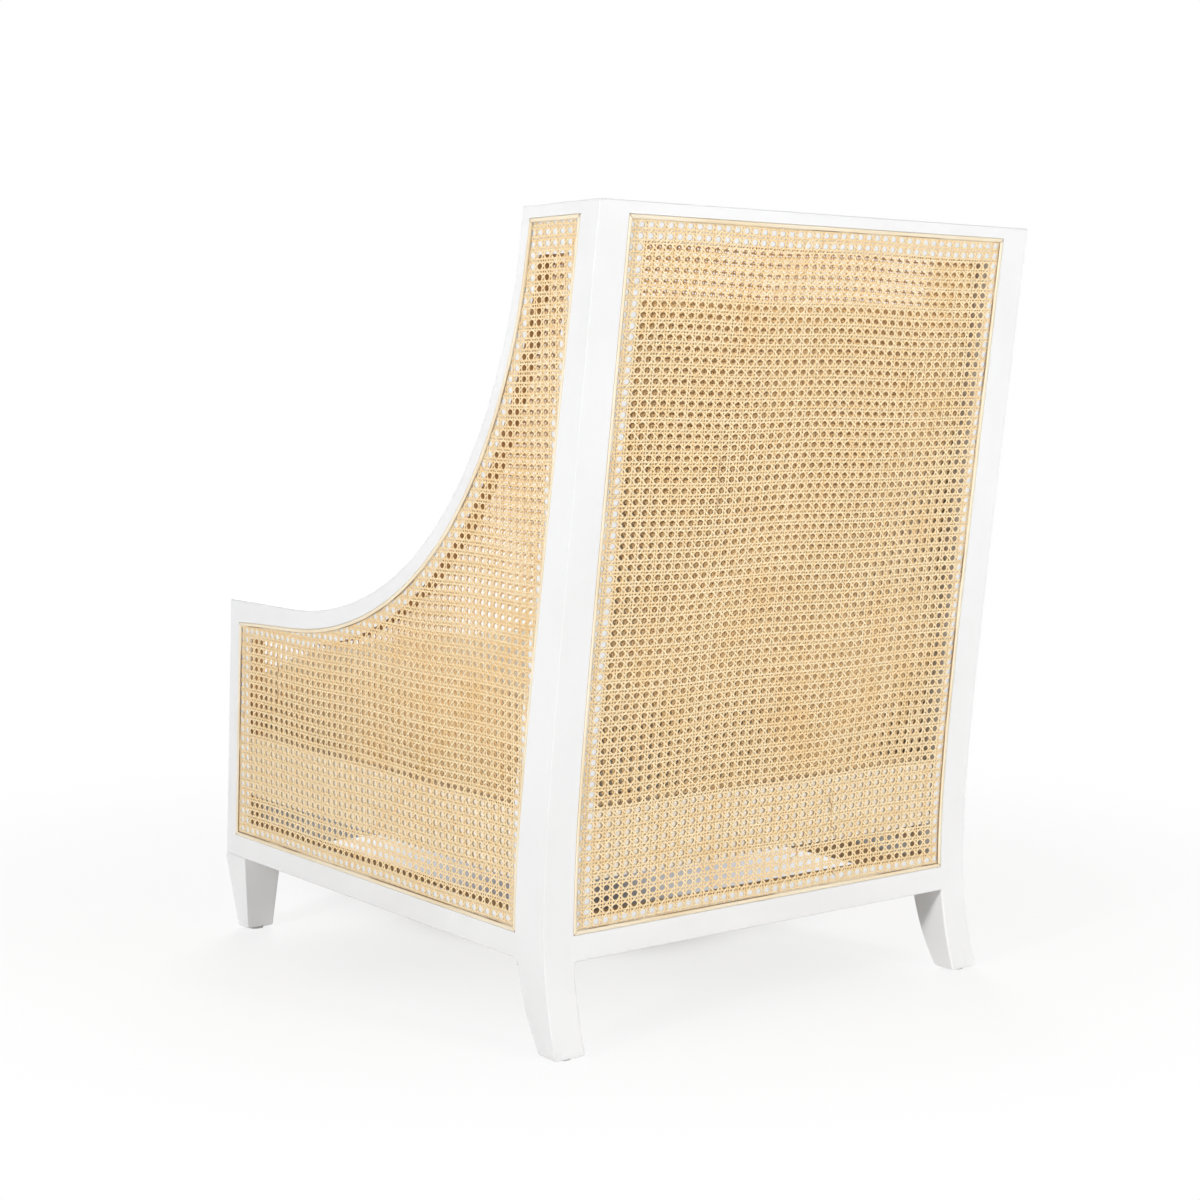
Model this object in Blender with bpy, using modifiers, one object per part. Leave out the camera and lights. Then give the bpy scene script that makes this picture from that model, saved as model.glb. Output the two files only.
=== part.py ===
"""Club chair with a white-lacquered wood frame, double-caned back and sides and two loose cushions.

Metres, +Z up. The sitter faces -Y, and +X is the sitter's left. Lengths below are measured in the chair's
own working frame, whose y = 0 is the back of the rear posts at the knee; an empty then carries the whole
chair so that its origin is the middle of the floor it covers.
"""

import math

import bmesh
import bpy
import numpy as np
from mathutils import Vector
from mathutils.bvhtree import BVHTree

# Overall sizes
OVERALL_HEIGHT = 0.940
OVERALL_WIDTH = 0.670
FRAME_DEPTH = 0.732
RAIL_BOTTOM_HEIGHT = 0.102
FIT = 0.0003
MITRE_GAP = 0.0005
EDGE_RADIUS = 0.004

# Rear posts: a raked stile that turns into a sabre leg below the knee
POST_WIDTH = 0.0415
POST_DEPTH_KNEE = 0.0545
POST_DEPTH_TOP = 0.031
KNEE_HEIGHT = 0.143
BACK_RAKE_RATIO = 0.14
RAKE_ONSET_LENGTH = 0.148
LEG_BACK_SWEEP = 0.0245
LEG_FRONT_SWEEP = 0.048
FOOT_EASE = 0.0025

# Side frames: face widths that show, and the ledges under the edge of the cane
SIDE_THICKNESS = 0.027
REBATE = 0.003
FRONT_LEAN_RATIO = 0.0352
FRONT_FACE = 0.0246
FRONT_LEDGE = 0.0295
BOTTOM_FACE = 0.0287
BOTTOM_LEDGE = 0.021
WING_TOP_FACE = 0.0144
WING_TOP_LEDGE = 0.0405
POST_SIDE_LEDGE = 0.017

# Arm rail: a level arm that sweeps up into the wing
ARM_HEIGHT = 0.451
ARM_LEVEL_RUN = 0.162
ARM_FACE_FRONT = 0.030
ARM_FACE_TOP = 0.0142
ARM_LEDGE = 0.020
ARM_PULL = 0.294
WING_DEPTH_TOP = 0.1385
WING_PULL = 0.2826
WING_LEAN_ANGLE = math.radians(7.54)
ARM_LEVEL_STATIONS = 4
ARM_SWEEP_STATIONS = 26

# Back frame
BACK_THICKNESS = 0.027
BACK_TOP_FACE = 0.014
BACK_TOP_LEDGE = 0.028
BACK_BOTTOM_FACE = 0.0295
BACK_BOTTOM_LEDGE = 0.017
POST_BACK_LEDGE = 0.015

# Front legs: tapered blocks
LEG_TOP_WIDTH = 0.057
LEG_TOP_DEPTH = 0.053
LEG_FOOT_WIDTH = 0.038
LEG_FOOT_DEPTH = 0.025
LEG_OUTER_TAPER = 0.011
LEG_FRONT_TAPER = 0.018
LEG_PROUD = 0.0034
LEG_EDGE = 0.0025

# Seat frame
SEAT_RAIL_DEPTH = 0.080
SEAT_RAIL_TOP_HEIGHT = 0.270
SEAT_RAIL_THICKNESS = 0.030
SEAT_RAIL_SETBACK = 0.015
APRON_THICKNESS = 0.022
APRON_SETBACK = 0.002
BLOCK_LEG = 0.070
BLOCK_END_GAP = 0.010
STRAP_COUNT = 5
STRAP_WIDTH = 0.060
STRAP_THICKNESS = 0.002
STRAP_END_CLEARANCE = 0.004
STRAP_MARGIN = 0.030

# Cane
CANE_THICKNESS = 0.0012
SPLINE_WIDTH = 0.0042
SPLINE_PROUD = 0.0003

# Cushions
CUSHION_CLEARANCE = 0.005
SEAT_EDGE_HEIGHT = 0.100
SEAT_CROWN = 0.022
SEAT_FRONT_SETBACK = 0.004
BACK_CUSHION_HEIGHT = 0.480
BACK_CUSHION_SIDE_GAP = 0.0045
BACK_EDGE_THICKNESS = 0.080
BACK_CROWN_FRONT = 0.034
BACK_CROWN_REAR = 0.010
CUSHION_DRAW_IN = 0.008
CUSHION_SIDE_BULGE = 0.006
CUSHION_CUTS = 5
CUSHION_SEAM_RATIO = 0.35
CUSHION_GAP = 0.0006

# Glides
GLIDE_RADIUS = 0.010
GLIDE_LIFT = 0.0025
GLIDE_SIDES = 20

HALF_WIDTH = OVERALL_WIDTH / 2
INNER_FACE = HALF_WIDTH - SIDE_THICKNESS
SEAT_RAIL_BOTTOM = SEAT_RAIL_TOP_HEIGHT - SEAT_RAIL_DEPTH
SIDES = {"left": 1, "right": -1}


def arc_offset(drop, run, sweep):
    """How far a circular sweep has moved sideways, drop below its start, if it moves sweep in run."""
    radius = (run * run + sweep * sweep) / (2 * sweep)
    return radius - math.sqrt(radius * radius - drop * drop)


def back_edge(z):
    """y of the rear posts' back face: a hyperbola that sets in above the knee, and an arc below it."""
    rise = z - KNEE_HEIGHT
    if rise >= 0:
        return BACK_RAKE_RATIO * (math.hypot(rise, RAKE_ONSET_LENGTH) - RAKE_ONSET_LENGTH)
    return arc_offset(-rise, KNEE_HEIGHT, LEG_BACK_SWEEP)


def post_front(z):
    """y of the rear posts' front face: a straight taper above the knee, and a tighter arc below it."""
    rise = z - KNEE_HEIGHT
    if rise >= 0:
        taper = rise / (OVERALL_HEIGHT - KNEE_HEIGHT)
        return back_edge(z) - POST_DEPTH_KNEE + (POST_DEPTH_KNEE - POST_DEPTH_TOP) * taper
    return arc_offset(-rise, KNEE_HEIGHT, LEG_FRONT_SWEEP) - POST_DEPTH_KNEE


def front_edge(z):
    """y of the front posts' front face, which leans back a little."""
    return -FRAME_DEPTH + FRONT_LEAN_RATIO * (z - RAIL_BOTTOM_HEIGHT)


def arm_path():
    """Points along the arm rail's top edge and the directions into the rail, as rows of (y, z)."""
    start = np.array((front_edge(ARM_HEIGHT) + ARM_LEVEL_RUN, ARM_HEIGHT))
    end = np.array((back_edge(OVERALL_HEIGHT) - WING_DEPTH_TOP, OVERALL_HEIGHT))
    pulls = (
        start,
        start + (ARM_PULL, 0),
        end - WING_PULL * np.array((math.sin(WING_LEAN_ANGLE), math.cos(WING_LEAN_ANGLE))),
        end,
    )
    t = np.linspace(0, 1, ARM_SWEEP_STATIONS)[:, None]
    sweep = sum(math.comb(3, k) * (1 - t) ** (3 - k) * t**k * pulls[k] for k in range(4))
    heading = sum(math.comb(2, k) * (1 - t) ** (2 - k) * t**k * (pulls[k + 1] - pulls[k]) for k in range(3))
    heading /= np.linalg.norm(heading, axis=1)[:, None]
    level_y = np.linspace(front_edge(ARM_HEIGHT), start[0], ARM_LEVEL_STATIONS, endpoint=False)
    level = np.stack([level_y, np.full_like(level_y, ARM_HEIGHT)], axis=1)
    inward = np.stack([heading[:, 1], -heading[:, 0]], axis=1)
    return np.vstack([level, sweep]), np.vstack([np.tile((0.0, -1.0), (len(level), 1)), inward])


def arm_faces(points):
    """Width of the arm rail's face along its path, narrowing with the square of the way left."""
    steps = np.linalg.norm(np.diff(points, axis=0), axis=1)
    way = np.concatenate([[0], np.cumsum(steps)]) / steps.sum()
    return ARM_FACE_TOP + (ARM_FACE_FRONT - ARM_FACE_TOP) * (1 - way) ** 2


def wing_mitre():
    corner_y = back_edge(OVERALL_HEIGHT) - WING_DEPTH_TOP
    face_z = OVERALL_HEIGHT - WING_TOP_FACE
    lean = math.tan(WING_LEAN_ANGLE)
    face_y = corner_y + ARM_FACE_TOP - WING_TOP_FACE * lean
    ledge_y = face_y + ARM_LEDGE - WING_TOP_LEDGE * lean
    return (corner_y, OVERALL_HEIGHT), (face_y, face_z), (ledge_y, face_z - WING_TOP_LEDGE)


def front_arm_mitre():
    face_z = ARM_HEIGHT - ARM_FACE_FRONT
    ledge_z = face_z - ARM_LEDGE
    return (
        (front_edge(ARM_HEIGHT), ARM_HEIGHT),
        (front_edge(face_z) + FRONT_FACE, face_z),
        (front_edge(ledge_z) + FRONT_FACE + FRONT_LEDGE, ledge_z),
    )


def arm_stations():
    """The arm rail's outer, face and ledge edges at each station, square to its path between the mitres."""
    points, inward = arm_path()
    first, last = np.array(front_arm_mitre()), np.array(wing_mitre())
    stations = [first]
    for point, into, face in zip(points, inward, arm_faces(points)):
        station = np.array((point, point + face * into, point + (face + ARM_LEDGE) * into))
        past_front = point[0] > first[2][0] + ARM_LEDGE / 2
        below_top = station[2][1] < last[2][1] - ARM_LEDGE / 2 and point[1] < last[1][1]
        if past_front and below_top:
            stations.append(station)
    return stations + [last]


def post_heights(low, high):
    """Heights to follow the rear post's curves at, shared by the post and by all that fits against it."""
    grid = np.linspace(KNEE_HEIGHT, OVERALL_HEIGHT - EDGE_RADIUS, 18)
    inside = grid[(grid > low + EDGE_RADIUS) & (grid < high - 2 * EDGE_RADIUS)]
    return np.concatenate([[low], inside, [high]])


def window_outline(inset, bottom):
    """Outline (y, z) of a side window's face edge, moved inwards by inset, from a given bottom height up."""
    top = OVERALL_HEIGHT - WING_TOP_FACE - inset
    stations = arm_stations()
    arm = [face + inset * (ledge - face) / np.linalg.norm(ledge - face) for _, face, ledge in stations[1:-1]]
    corner, heading = stations[-1][1], stations[-1][1] - stations[-2][1]
    heading /= np.linalg.norm(heading)
    edge = corner + inset * np.array((heading[1], -heading[0]))
    wing_corner = edge + heading * (top - edge[1]) / heading[1]
    front_top = ARM_HEIGHT - ARM_FACE_FRONT - inset
    front = [(front_edge(z) + FRONT_FACE + inset, z) for z in (front_top, bottom)]
    post = [(post_front(z) - inset, z) for z in post_heights(bottom, top)]
    return post + [tuple(wing_corner)] + [tuple(p) for p in arm[::-1]] + front


def back_strip(z_low, z_high, behind, ahead):
    """Outline (y, z) of a strip that follows the back between two heights, set in from the back face."""
    heights = post_heights(z_low, z_high)
    rear = [(back_edge(z) - behind, z) for z in heights]
    front = [(back_edge(z) - ahead, z) for z in heights[::-1]]
    return rear + front


def new_material(name, colour, roughness, metallic=0.0):
    material = bpy.data.materials.new(name)
    material.use_nodes = True
    shader = material.node_tree.nodes["Principled BSDF"]
    shader.inputs["Base Color"].default_value = (*colour, 1.0)
    shader.inputs["Roughness"].default_value = roughness
    shader.inputs["Metallic"].default_value = metallic
    return material


def add_object(name, mesh, material, helper=False):
    obj = bpy.data.objects.new(name, mesh)
    home = cutters if helper else parts
    home.objects.link(obj)
    obj.parent = chair
    if helper:
        obj.hide_render = True
        obj.display_type = "WIRE"
    if material:
        mesh.materials.append(material)
    mesh.shade_smooth()
    mesh.set_sharp_from_angle(angle=math.radians(32))
    return obj


def loft(name, rings, material, caps=None):
    """Solid skinned over rings of (x, y, z) points; caps lists the faces that close an end."""
    count = len(rings[0])
    caps = caps or [range(count)]
    bm = bmesh.new()
    verts = [[bm.verts.new(point) for point in ring] for ring in rings]
    for low, high in zip(verts, verts[1:]):
        for k in range(count):
            after = (k + 1) % count
            bm.faces.new((low[k], low[after], high[after], high[k]))
    for end in (verts[0], verts[-1]):
        for cap in caps:
            bm.faces.new([end[k] for k in cap])
    bmesh.ops.recalc_face_normals(bm, faces=bm.faces)
    mesh = bpy.data.meshes.new(name)
    bm.to_mesh(mesh)
    bm.free()
    return add_object(name, mesh, material)


def prism(name, outline, x_low, x_high, material, hole=None, helper=False):
    """Solid with an outline in the side view (y, z), carried across from x_low to x_high."""
    curve = bpy.data.curves.new(name, "CURVE")
    curve.dimensions = "2D"
    curve.fill_mode = "BOTH"
    curve.extrude = (x_high - x_low) / 2
    for ring in filter(None, (outline, hole)):
        spline = curve.splines.new("POLY")
        spline.points.add(len(ring) - 1)
        for point, (y, z) in zip(spline.points, ring):
            point.co = (y, z, 0, 1)
        spline.use_cyclic_u = True
    drawn = bpy.data.objects.new(name + "_outline", curve)
    cutters.objects.link(drawn)
    graph = bpy.context.evaluated_depsgraph_get()
    mesh = bpy.data.meshes.new_from_object(drawn.evaluated_get(graph))
    bpy.data.objects.remove(drawn)
    bpy.data.curves.remove(curve)
    bm = bmesh.new()
    bm.from_mesh(mesh)
    bmesh.ops.remove_doubles(bm, verts=bm.verts, dist=1e-6)
    bmesh.ops.recalc_face_normals(bm, faces=bm.faces)
    bm.to_mesh(mesh)
    bm.free()
    mesh.materials.clear()
    mesh.name = name
    obj = add_object(name, mesh, material, helper)
    obj.location = ((x_low + x_high) / 2, 0, 0)
    obj.rotation_euler = (math.pi / 2, 0, math.pi / 2)
    return obj


def across(side, low, high):
    """The same pair of distances from the chair's middle, on the left or the right side."""
    return (low, high) if side > 0 else (-high, -low)


def rounded_corners(x_low, x_high, y_low, y_high, radius):
    """Points (x, y) round a rectangle, with each corner turned through an arc of three points."""
    centres = (
        (x_high - radius, y_high - radius),
        (x_low + radius, y_high - radius),
        (x_low + radius, y_low + radius),
        (x_high - radius, y_low + radius),
    )
    ring = []
    for quarter, (cx, cy) in enumerate(centres):
        for eighth in range(3):
            angle = (quarter + eighth / 2) * math.pi / 2
            ring.append((cx + radius * math.cos(angle), cy + radius * math.sin(angle)))
    return ring


def side_ring(side, station):
    """Points round a side-frame member at a station: its outer, face and ledge edges in (y, z)."""
    outer, face, ledge = (np.asarray(p, float) for p in station)
    into = (face - outer) / np.linalg.norm(face - outer)
    turn = EDGE_RADIUS * (1 - math.sqrt(0.5))
    rim = [
        (EDGE_RADIUS, HALF_WIDTH),
        (turn, HALF_WIDTH - turn),
        (0, HALF_WIDTH - EDGE_RADIUS),
        (0, INNER_FACE + EDGE_RADIUS),
        (turn, INNER_FACE + turn),
        (EDGE_RADIUS, INNER_FACE),
    ]
    ring = [(side * x, *(outer + inset * into)) for inset, x in rim]
    ring.append((side * INNER_FACE, *face))
    ring.append((side * (INNER_FACE + REBATE), *face))
    ring.append((side * (INNER_FACE + REBATE), *ledge))
    ring.append((side * (HALF_WIDTH - REBATE), *ledge))
    ring.append((side * (HALF_WIDTH - REBATE), *face))
    ring.append((side * HALF_WIDTH, *face))
    return ring


def side_member(name, side, stations, material):
    face_cap = (0, 1, 2, 3, 4, 5, 6, 7, 10, 11)
    ledge_cap = (7, 8, 9, 10)
    return loft(name, [side_ring(side, s) for s in stations], material, [face_cap, ledge_cap])


def moved(station, dy, dz):
    return [(y + dy, z + dz) for y, z in station]


def front_bottom_mitre():
    face_z = RAIL_BOTTOM_HEIGHT + BOTTOM_FACE
    ledge_z = face_z + BOTTOM_LEDGE
    return (
        (front_edge(RAIL_BOTTOM_HEIGHT), RAIL_BOTTOM_HEIGHT),
        (front_edge(face_z) + FRONT_FACE, face_z),
        (front_edge(ledge_z) + FRONT_FACE + FRONT_LEDGE, ledge_z),
    )


def add_rear_post(name, side):
    heights = np.concatenate([
        [GLIDE_LIFT, GLIDE_LIFT + FOOT_EASE],
        np.linspace(GLIDE_LIFT + 4 * FOOT_EASE, KNEE_HEIGHT, 8),
        post_heights(KNEE_HEIGHT, OVERALL_HEIGHT)[1:-1],
        [OVERALL_HEIGHT - EDGE_RADIUS, OVERALL_HEIGHT],
    ])
    rings = []
    for z in heights:
        ease = FOOT_EASE if z == heights[0] else EDGE_RADIUS / 2 if z == heights[-1] else 0
        x_low, x_high = across(side, HALF_WIDTH - POST_WIDTH + ease, HALF_WIDTH - ease)
        section = rounded_corners(x_low, x_high, post_front(z) + ease, back_edge(z) - ease, EDGE_RADIUS)
        rings.append([(x, y, z) for x, y in section])
    return loft(name, rings, lacquer)


def add_arm_rail(name, side):
    return side_member(name, side, arm_stations(), lacquer)


def add_front_post(name, side):
    return side_member(name, side, [front_bottom_mitre(), moved(front_arm_mitre(), 0, -MITRE_GAP)], lacquer)


def add_bottom_rail(name, side):
    heights = (
        RAIL_BOTTOM_HEIGHT,
        RAIL_BOTTOM_HEIGHT + BOTTOM_FACE,
        RAIL_BOTTOM_HEIGHT + BOTTOM_FACE + BOTTOM_LEDGE,
    )
    rear = [(post_front(z) - MITRE_GAP - FIT, z) for z in heights]
    return side_member(name, side, [moved(front_bottom_mitre(), MITRE_GAP, 0), rear], lacquer)


def add_wing_top_rail(name, side):
    heights = (
        OVERALL_HEIGHT,
        OVERALL_HEIGHT - WING_TOP_FACE,
        OVERALL_HEIGHT - WING_TOP_FACE - WING_TOP_LEDGE,
    )
    rear = [(post_front(z) - FIT, z) for z in heights]
    return side_member(name, side, [moved(wing_mitre(), MITRE_GAP, 0), rear], lacquer)


def add_side_batten(name, side):
    low = RAIL_BOTTOM_HEIGHT + BOTTOM_FACE + BOTTOM_LEDGE + FIT
    high = OVERALL_HEIGHT - WING_TOP_FACE - WING_TOP_LEDGE - FIT
    heights = post_heights(low, high)
    outline = [(post_front(z) - FIT, z) for z in heights]
    outline += [(post_front(z) - POST_SIDE_LEDGE, z) for z in heights[::-1]]
    return prism(name, outline, *across(side, INNER_FACE + REBATE, HALF_WIDTH - REBATE), lacquer)


def add_back_batten(name, side):
    low = RAIL_BOTTOM_HEIGHT + BACK_BOTTOM_FACE + BACK_BOTTOM_LEDGE + FIT
    high = OVERALL_HEIGHT - BACK_TOP_FACE - BACK_TOP_LEDGE - FIT
    outline = back_strip(low, high, REBATE, BACK_THICKNESS - REBATE)
    post_side = HALF_WIDTH - POST_WIDTH
    return prism(name, outline, *across(side, post_side - POST_BACK_LEDGE, post_side - FIT), lacquer)


def add_back_rail(name, edge, face, ledge, into):
    """Rail between the rear posts; into is +1 for the bottom rail, whose ledge points up, or -1."""
    face_z = edge + into * face
    ledge_z = face_z + into * ledge
    turn = EDGE_RADIUS * (1 - math.sqrt(0.5))
    rim = [(edge + into * EDGE_RADIUS, 0), (edge + into * turn, turn), (edge, EDGE_RADIUS)]
    rear = [(back_edge(z) - inwards, z) for z, inwards in rim]
    front = [(back_edge(z) - BACK_THICKNESS + inwards, z) for z, inwards in rim[::-1]]
    steps = [
        (back_edge(face_z) - BACK_THICKNESS, face_z),
        (back_edge(face_z) - BACK_THICKNESS + REBATE, face_z),
        (back_edge(ledge_z) - BACK_THICKNESS + REBATE, ledge_z),
        (back_edge(ledge_z) - REBATE, ledge_z),
        (back_edge(face_z) - REBATE, face_z),
        (back_edge(face_z), face_z),
    ]
    half = HALF_WIDTH - POST_WIDTH - FIT
    return prism(name, rear + front + steps, -half, half, lacquer)


def add_front_leg(name, side):
    top = RAIL_BOTTOM_HEIGHT - FIT
    front = front_edge(RAIL_BOTTOM_HEIGHT) - LEG_PROUD
    rings = []
    for z, ease in ((GLIDE_LIFT, LEG_EDGE), (GLIDE_LIFT + LEG_EDGE, 0), (top - LEG_EDGE, 0), (top, LEG_EDGE)):
        up = z / top
        outer = HALF_WIDTH - LEG_OUTER_TAPER * (1 - up)
        width = LEG_FOOT_WIDTH + (LEG_TOP_WIDTH - LEG_FOOT_WIDTH) * up
        near = front + LEG_FRONT_TAPER * (1 - up)
        depth = LEG_FOOT_DEPTH + (LEG_TOP_DEPTH - LEG_FOOT_DEPTH) * up
        x_low, x_high = across(side, outer - width + ease, outer - ease)
        section = rounded_corners(x_low, x_high, near + ease, near + depth - ease, LEG_EDGE)
        rings.append([(x, y, z) for x, y in section])
    return loft(name, rings, lacquer)


def add_seat_rail(name, side):
    heights = (SEAT_RAIL_BOTTOM, SEAT_RAIL_TOP_HEIGHT)
    front = [(front_edge(z) + FRONT_FACE + FRONT_LEDGE + FIT, z) for z in heights]
    rear = [(post_front(z) - POST_SIDE_LEDGE - FIT, z) for z in post_heights(*heights)[::-1]]
    inner = HALF_WIDTH - SEAT_RAIL_SETBACK - SEAT_RAIL_THICKNESS
    return prism(name, front + rear, *across(side, inner, inner + SEAT_RAIL_THICKNESS), lacquer)


def add_back_seat_rail(name):
    inner = SEAT_RAIL_SETBACK + SEAT_RAIL_THICKNESS
    outline = back_strip(SEAT_RAIL_BOTTOM, SEAT_RAIL_TOP_HEIGHT, SEAT_RAIL_SETBACK, inner)
    half = HALF_WIDTH - POST_WIDTH - POST_BACK_LEDGE - FIT
    return prism(name, outline, -half, half, lacquer)


def apron_back(z):
    return front_edge(z) + APRON_SETBACK + APRON_THICKNESS


def add_front_apron(name):
    low, high = RAIL_BOTTOM_HEIGHT, SEAT_RAIL_TOP_HEIGHT
    outline = [
        (front_edge(low) + APRON_SETBACK, low),
        (apron_back(low), low),
        (apron_back(high), high),
        (front_edge(high) + APRON_SETBACK, high),
    ]
    return prism(name, outline, -INNER_FACE + FIT, INNER_FACE - FIT, lacquer)


def add_corner_block(name, side, against, towards):
    """Triangular block in a corner of the seat frame: against gives the cross rail's face at a height."""
    corner_x = HALF_WIDTH - SEAT_RAIL_SETBACK - SEAT_RAIL_THICKNESS - FIT
    rings = []
    for z in np.linspace(SEAT_RAIL_BOTTOM + BLOCK_END_GAP, SEAT_RAIL_TOP_HEIGHT - BLOCK_END_GAP, 6):
        corner_y = against(z) + towards * FIT
        rings.append([
            (side * corner_x, corner_y, z),
            (side * corner_x, corner_y + towards * BLOCK_LEG, z),
            (side * (corner_x - BLOCK_LEG), corner_y, z),
        ])
    return loft(name, rings, beech)


def back_rail_front(z):
    return back_edge(z) - SEAT_RAIL_SETBACK - SEAT_RAIL_THICKNESS


def add_strap(name, number):
    first = apron_back(SEAT_RAIL_TOP_HEIGHT) + STRAP_MARGIN + STRAP_WIDTH / 2
    last = back_rail_front(SEAT_RAIL_TOP_HEIGHT) - STRAP_MARGIN - STRAP_WIDTH / 2
    middle = first + (last - first) * number / (STRAP_COUNT - 1)
    half = INNER_FACE - STRAP_END_CLEARANCE
    low = SEAT_RAIL_TOP_HEIGHT + FIT
    outline = [
        (middle - STRAP_WIDTH / 2, low),
        (middle + STRAP_WIDTH / 2, low),
        (middle + STRAP_WIDTH / 2, low + STRAP_THICKNESS),
        (middle - STRAP_WIDTH / 2, low + STRAP_THICKNESS),
    ]
    return prism(name, outline, -half, half, webbing)


def add_side_cane(name, side, outward, bottom):
    """Sheet on the outer (outward = 1) or inner (-1) side of a side frame, and the spline on its edge."""
    surface = HALF_WIDTH if outward > 0 else INNER_FACE
    sheet_near = REBATE - FIT - CANE_THICKNESS

    def depths(low, high):
        return across(side, *sorted((surface - outward * low, surface - outward * high)))

    edge = window_outline(FIT, bottom)
    opening = window_outline(FIT + SPLINE_WIDTH, bottom + SPLINE_WIDTH)
    prism(name + "_cane", edge, *depths(sheet_near, REBATE - FIT), cane)
    prism(name + "_spline", edge, *depths(-SPLINE_PROUD, sheet_near - FIT), reed, hole=opening)


def add_back_cane(name, outward, bottom):
    """Sheet on the outer (outward = 1) or inner face of the back frame, and the reed spline over its edge."""
    sheet_near = REBATE - FIT - CANE_THICKNESS
    top = OVERALL_HEIGHT - BACK_TOP_FACE - FIT
    half = HALF_WIDTH - POST_WIDTH - FIT

    def depths(low, high):
        if outward > 0:
            return low, high
        return BACK_THICKNESS - high, BACK_THICKNESS - low

    prism(name + "_cane", back_strip(bottom, top, *depths(sheet_near, REBATE - FIT)), -half, half, cane)
    rear, front = depths(-SPLINE_PROUD, sheet_near - FIT)
    spline = prism(name + "_spline", back_strip(bottom, top, rear, front), -half, half, reed)
    through = back_strip(bottom + SPLINE_WIDTH, top - SPLINE_WIDTH, rear - REBATE, front + REBATE)
    half_opening = half - SPLINE_WIDTH
    opening = prism(name + "_opening", through, -half_opening, half_opening, None, helper=True)
    cut = spline.modifiers.new("Opening", "BOOLEAN")
    cut.operation = "DIFFERENCE"
    cut.object = opening


def cushion(name, half_sizes, crown_up, crown_down):
    """Boxed cushion: crowned faces that fall to the seams, and sides that draw in between the corners."""
    half_x, half_y, half_z = half_sizes
    bm = bmesh.new()
    bmesh.ops.create_cube(bm, size=2)
    bmesh.ops.subdivide_edges(bm, edges=bm.edges[:], cuts=CUSHION_CUTS, use_grid_fill=True)
    for vert in bm.verts:
        u, v = (math.copysign(abs(c) ** CUSHION_SEAM_RATIO, c) for c in vert.co.xy)
        h = vert.co.z
        crown = (1 - u**4) * (1 - v**4) * (crown_up if h > 0 else crown_down)
        bulge = CUSHION_SIDE_BULGE * h * h
        draw_x = bulge + CUSHION_DRAW_IN * (1 - v * v)
        draw_y = bulge + CUSHION_DRAW_IN * (1 - u * u)
        vert.co = (u * (half_x - draw_x * abs(u)), v * (half_y - draw_y * abs(v)), h * (half_z + crown))
    mesh = bpy.data.meshes.new(name)
    bm.to_mesh(mesh)
    bm.free()
    obj = add_object(name, mesh, fabric)
    soften = obj.modifiers.new("Soften", "SUBSURF")
    soften.levels = 1
    soften.render_levels = 1
    return obj


def world_shape(obj):
    """The piece's corners as it now stands, and a tree of its faces to cast rays at."""
    bpy.context.view_layer.update()
    solid = obj.evaluated_get(bpy.context.evaluated_depsgraph_get())
    mesh = solid.to_mesh()
    corners = [solid.matrix_world @ vert.co for vert in mesh.vertices]
    tree = BVHTree.FromPolygons(corners, [tuple(face.vertices) for face in mesh.polygons])
    solid.to_mesh_clear()
    return corners, tree


def settle(obj, direction, others):
    """Moves a piece along a direction until it lies just off the first of the others that it meets."""
    heading = Vector(direction)
    corners, tree = world_shape(obj)
    room = []
    for other in others:
        other_corners, other_tree = world_shape(other)
        hits = [other_tree.ray_cast(corner, heading) for corner in corners]
        hits += [tree.ray_cast(corner, -heading) for corner in other_corners]
        room += [hit[3] for hit in hits if hit[0]]
    obj.location += heading * (min(room) - CUSHION_GAP)


def add_cushions():
    half_x = INNER_FACE - CUSHION_CLEARANCE
    seat_low = SEAT_RAIL_TOP_HEIGHT + STRAP_THICKNESS + 2 * FIT
    seat_middle = seat_low + SEAT_EDGE_HEIGHT / 2
    seat_front = front_edge(seat_middle) + SEAT_FRONT_SETBACK
    seat_rear = post_front(seat_low) - CUSHION_CLEARANCE
    seat_half_y = (seat_rear - seat_front) / 2
    seat = cushion("seat_cushion", (half_x, seat_half_y, SEAT_EDGE_HEIGHT / 2), SEAT_CROWN, 0)
    seat.location = (0, (seat_front + seat_rear) / 2, seat_middle)

    back_half_x = HALF_WIDTH - POST_WIDTH - BACK_CUSHION_SIDE_GAP
    back_halves = (back_half_x, BACK_CUSHION_HEIGHT / 2, BACK_EDGE_THICKNESS / 2)
    back = cushion("back_cushion", back_halves, BACK_CROWN_FRONT, BACK_CROWN_REAR)
    lean = math.atan(BACK_RAKE_RATIO)
    middle_z = seat_low + SEAT_EDGE_HEIGHT + 2 * SEAT_CROWN + BACK_CUSHION_HEIGHT / 2
    back.location = (0, back_edge(middle_z) - BACK_THICKNESS - 2 * BACK_EDGE_THICKNESS, middle_z)
    back.rotation_euler = (math.pi / 2 - lean, 0, 0)
    behind = ("back_inner_cane", "back_inner_spline", "left_rear_post", "right_rear_post")
    settle(back, (0, 1, 0), [parts.objects[name] for name in behind])
    settle(back, (0, -math.sin(lean), -math.cos(lean)), [seat])


def add_glide(name, x, y):
    bm = bmesh.new()
    height = GLIDE_LIFT - FIT
    bmesh.ops.create_cone(
        bm, cap_ends=True, segments=GLIDE_SIDES, radius1=GLIDE_RADIUS, radius2=GLIDE_RADIUS, depth=height
    )
    mesh = bpy.data.meshes.new(name)
    bm.to_mesh(mesh)
    bm.free()
    obj = add_object(name, mesh, nylon)
    obj.location = (x, y, height / 2)


for old in list(bpy.data.objects):
    bpy.data.objects.remove(old)

parts = bpy.data.collections.new("club_chair")
cutters = bpy.data.collections.new("club_chair_cutters")
bpy.context.scene.collection.children.link(parts)
bpy.context.scene.collection.children.link(cutters)

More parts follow.
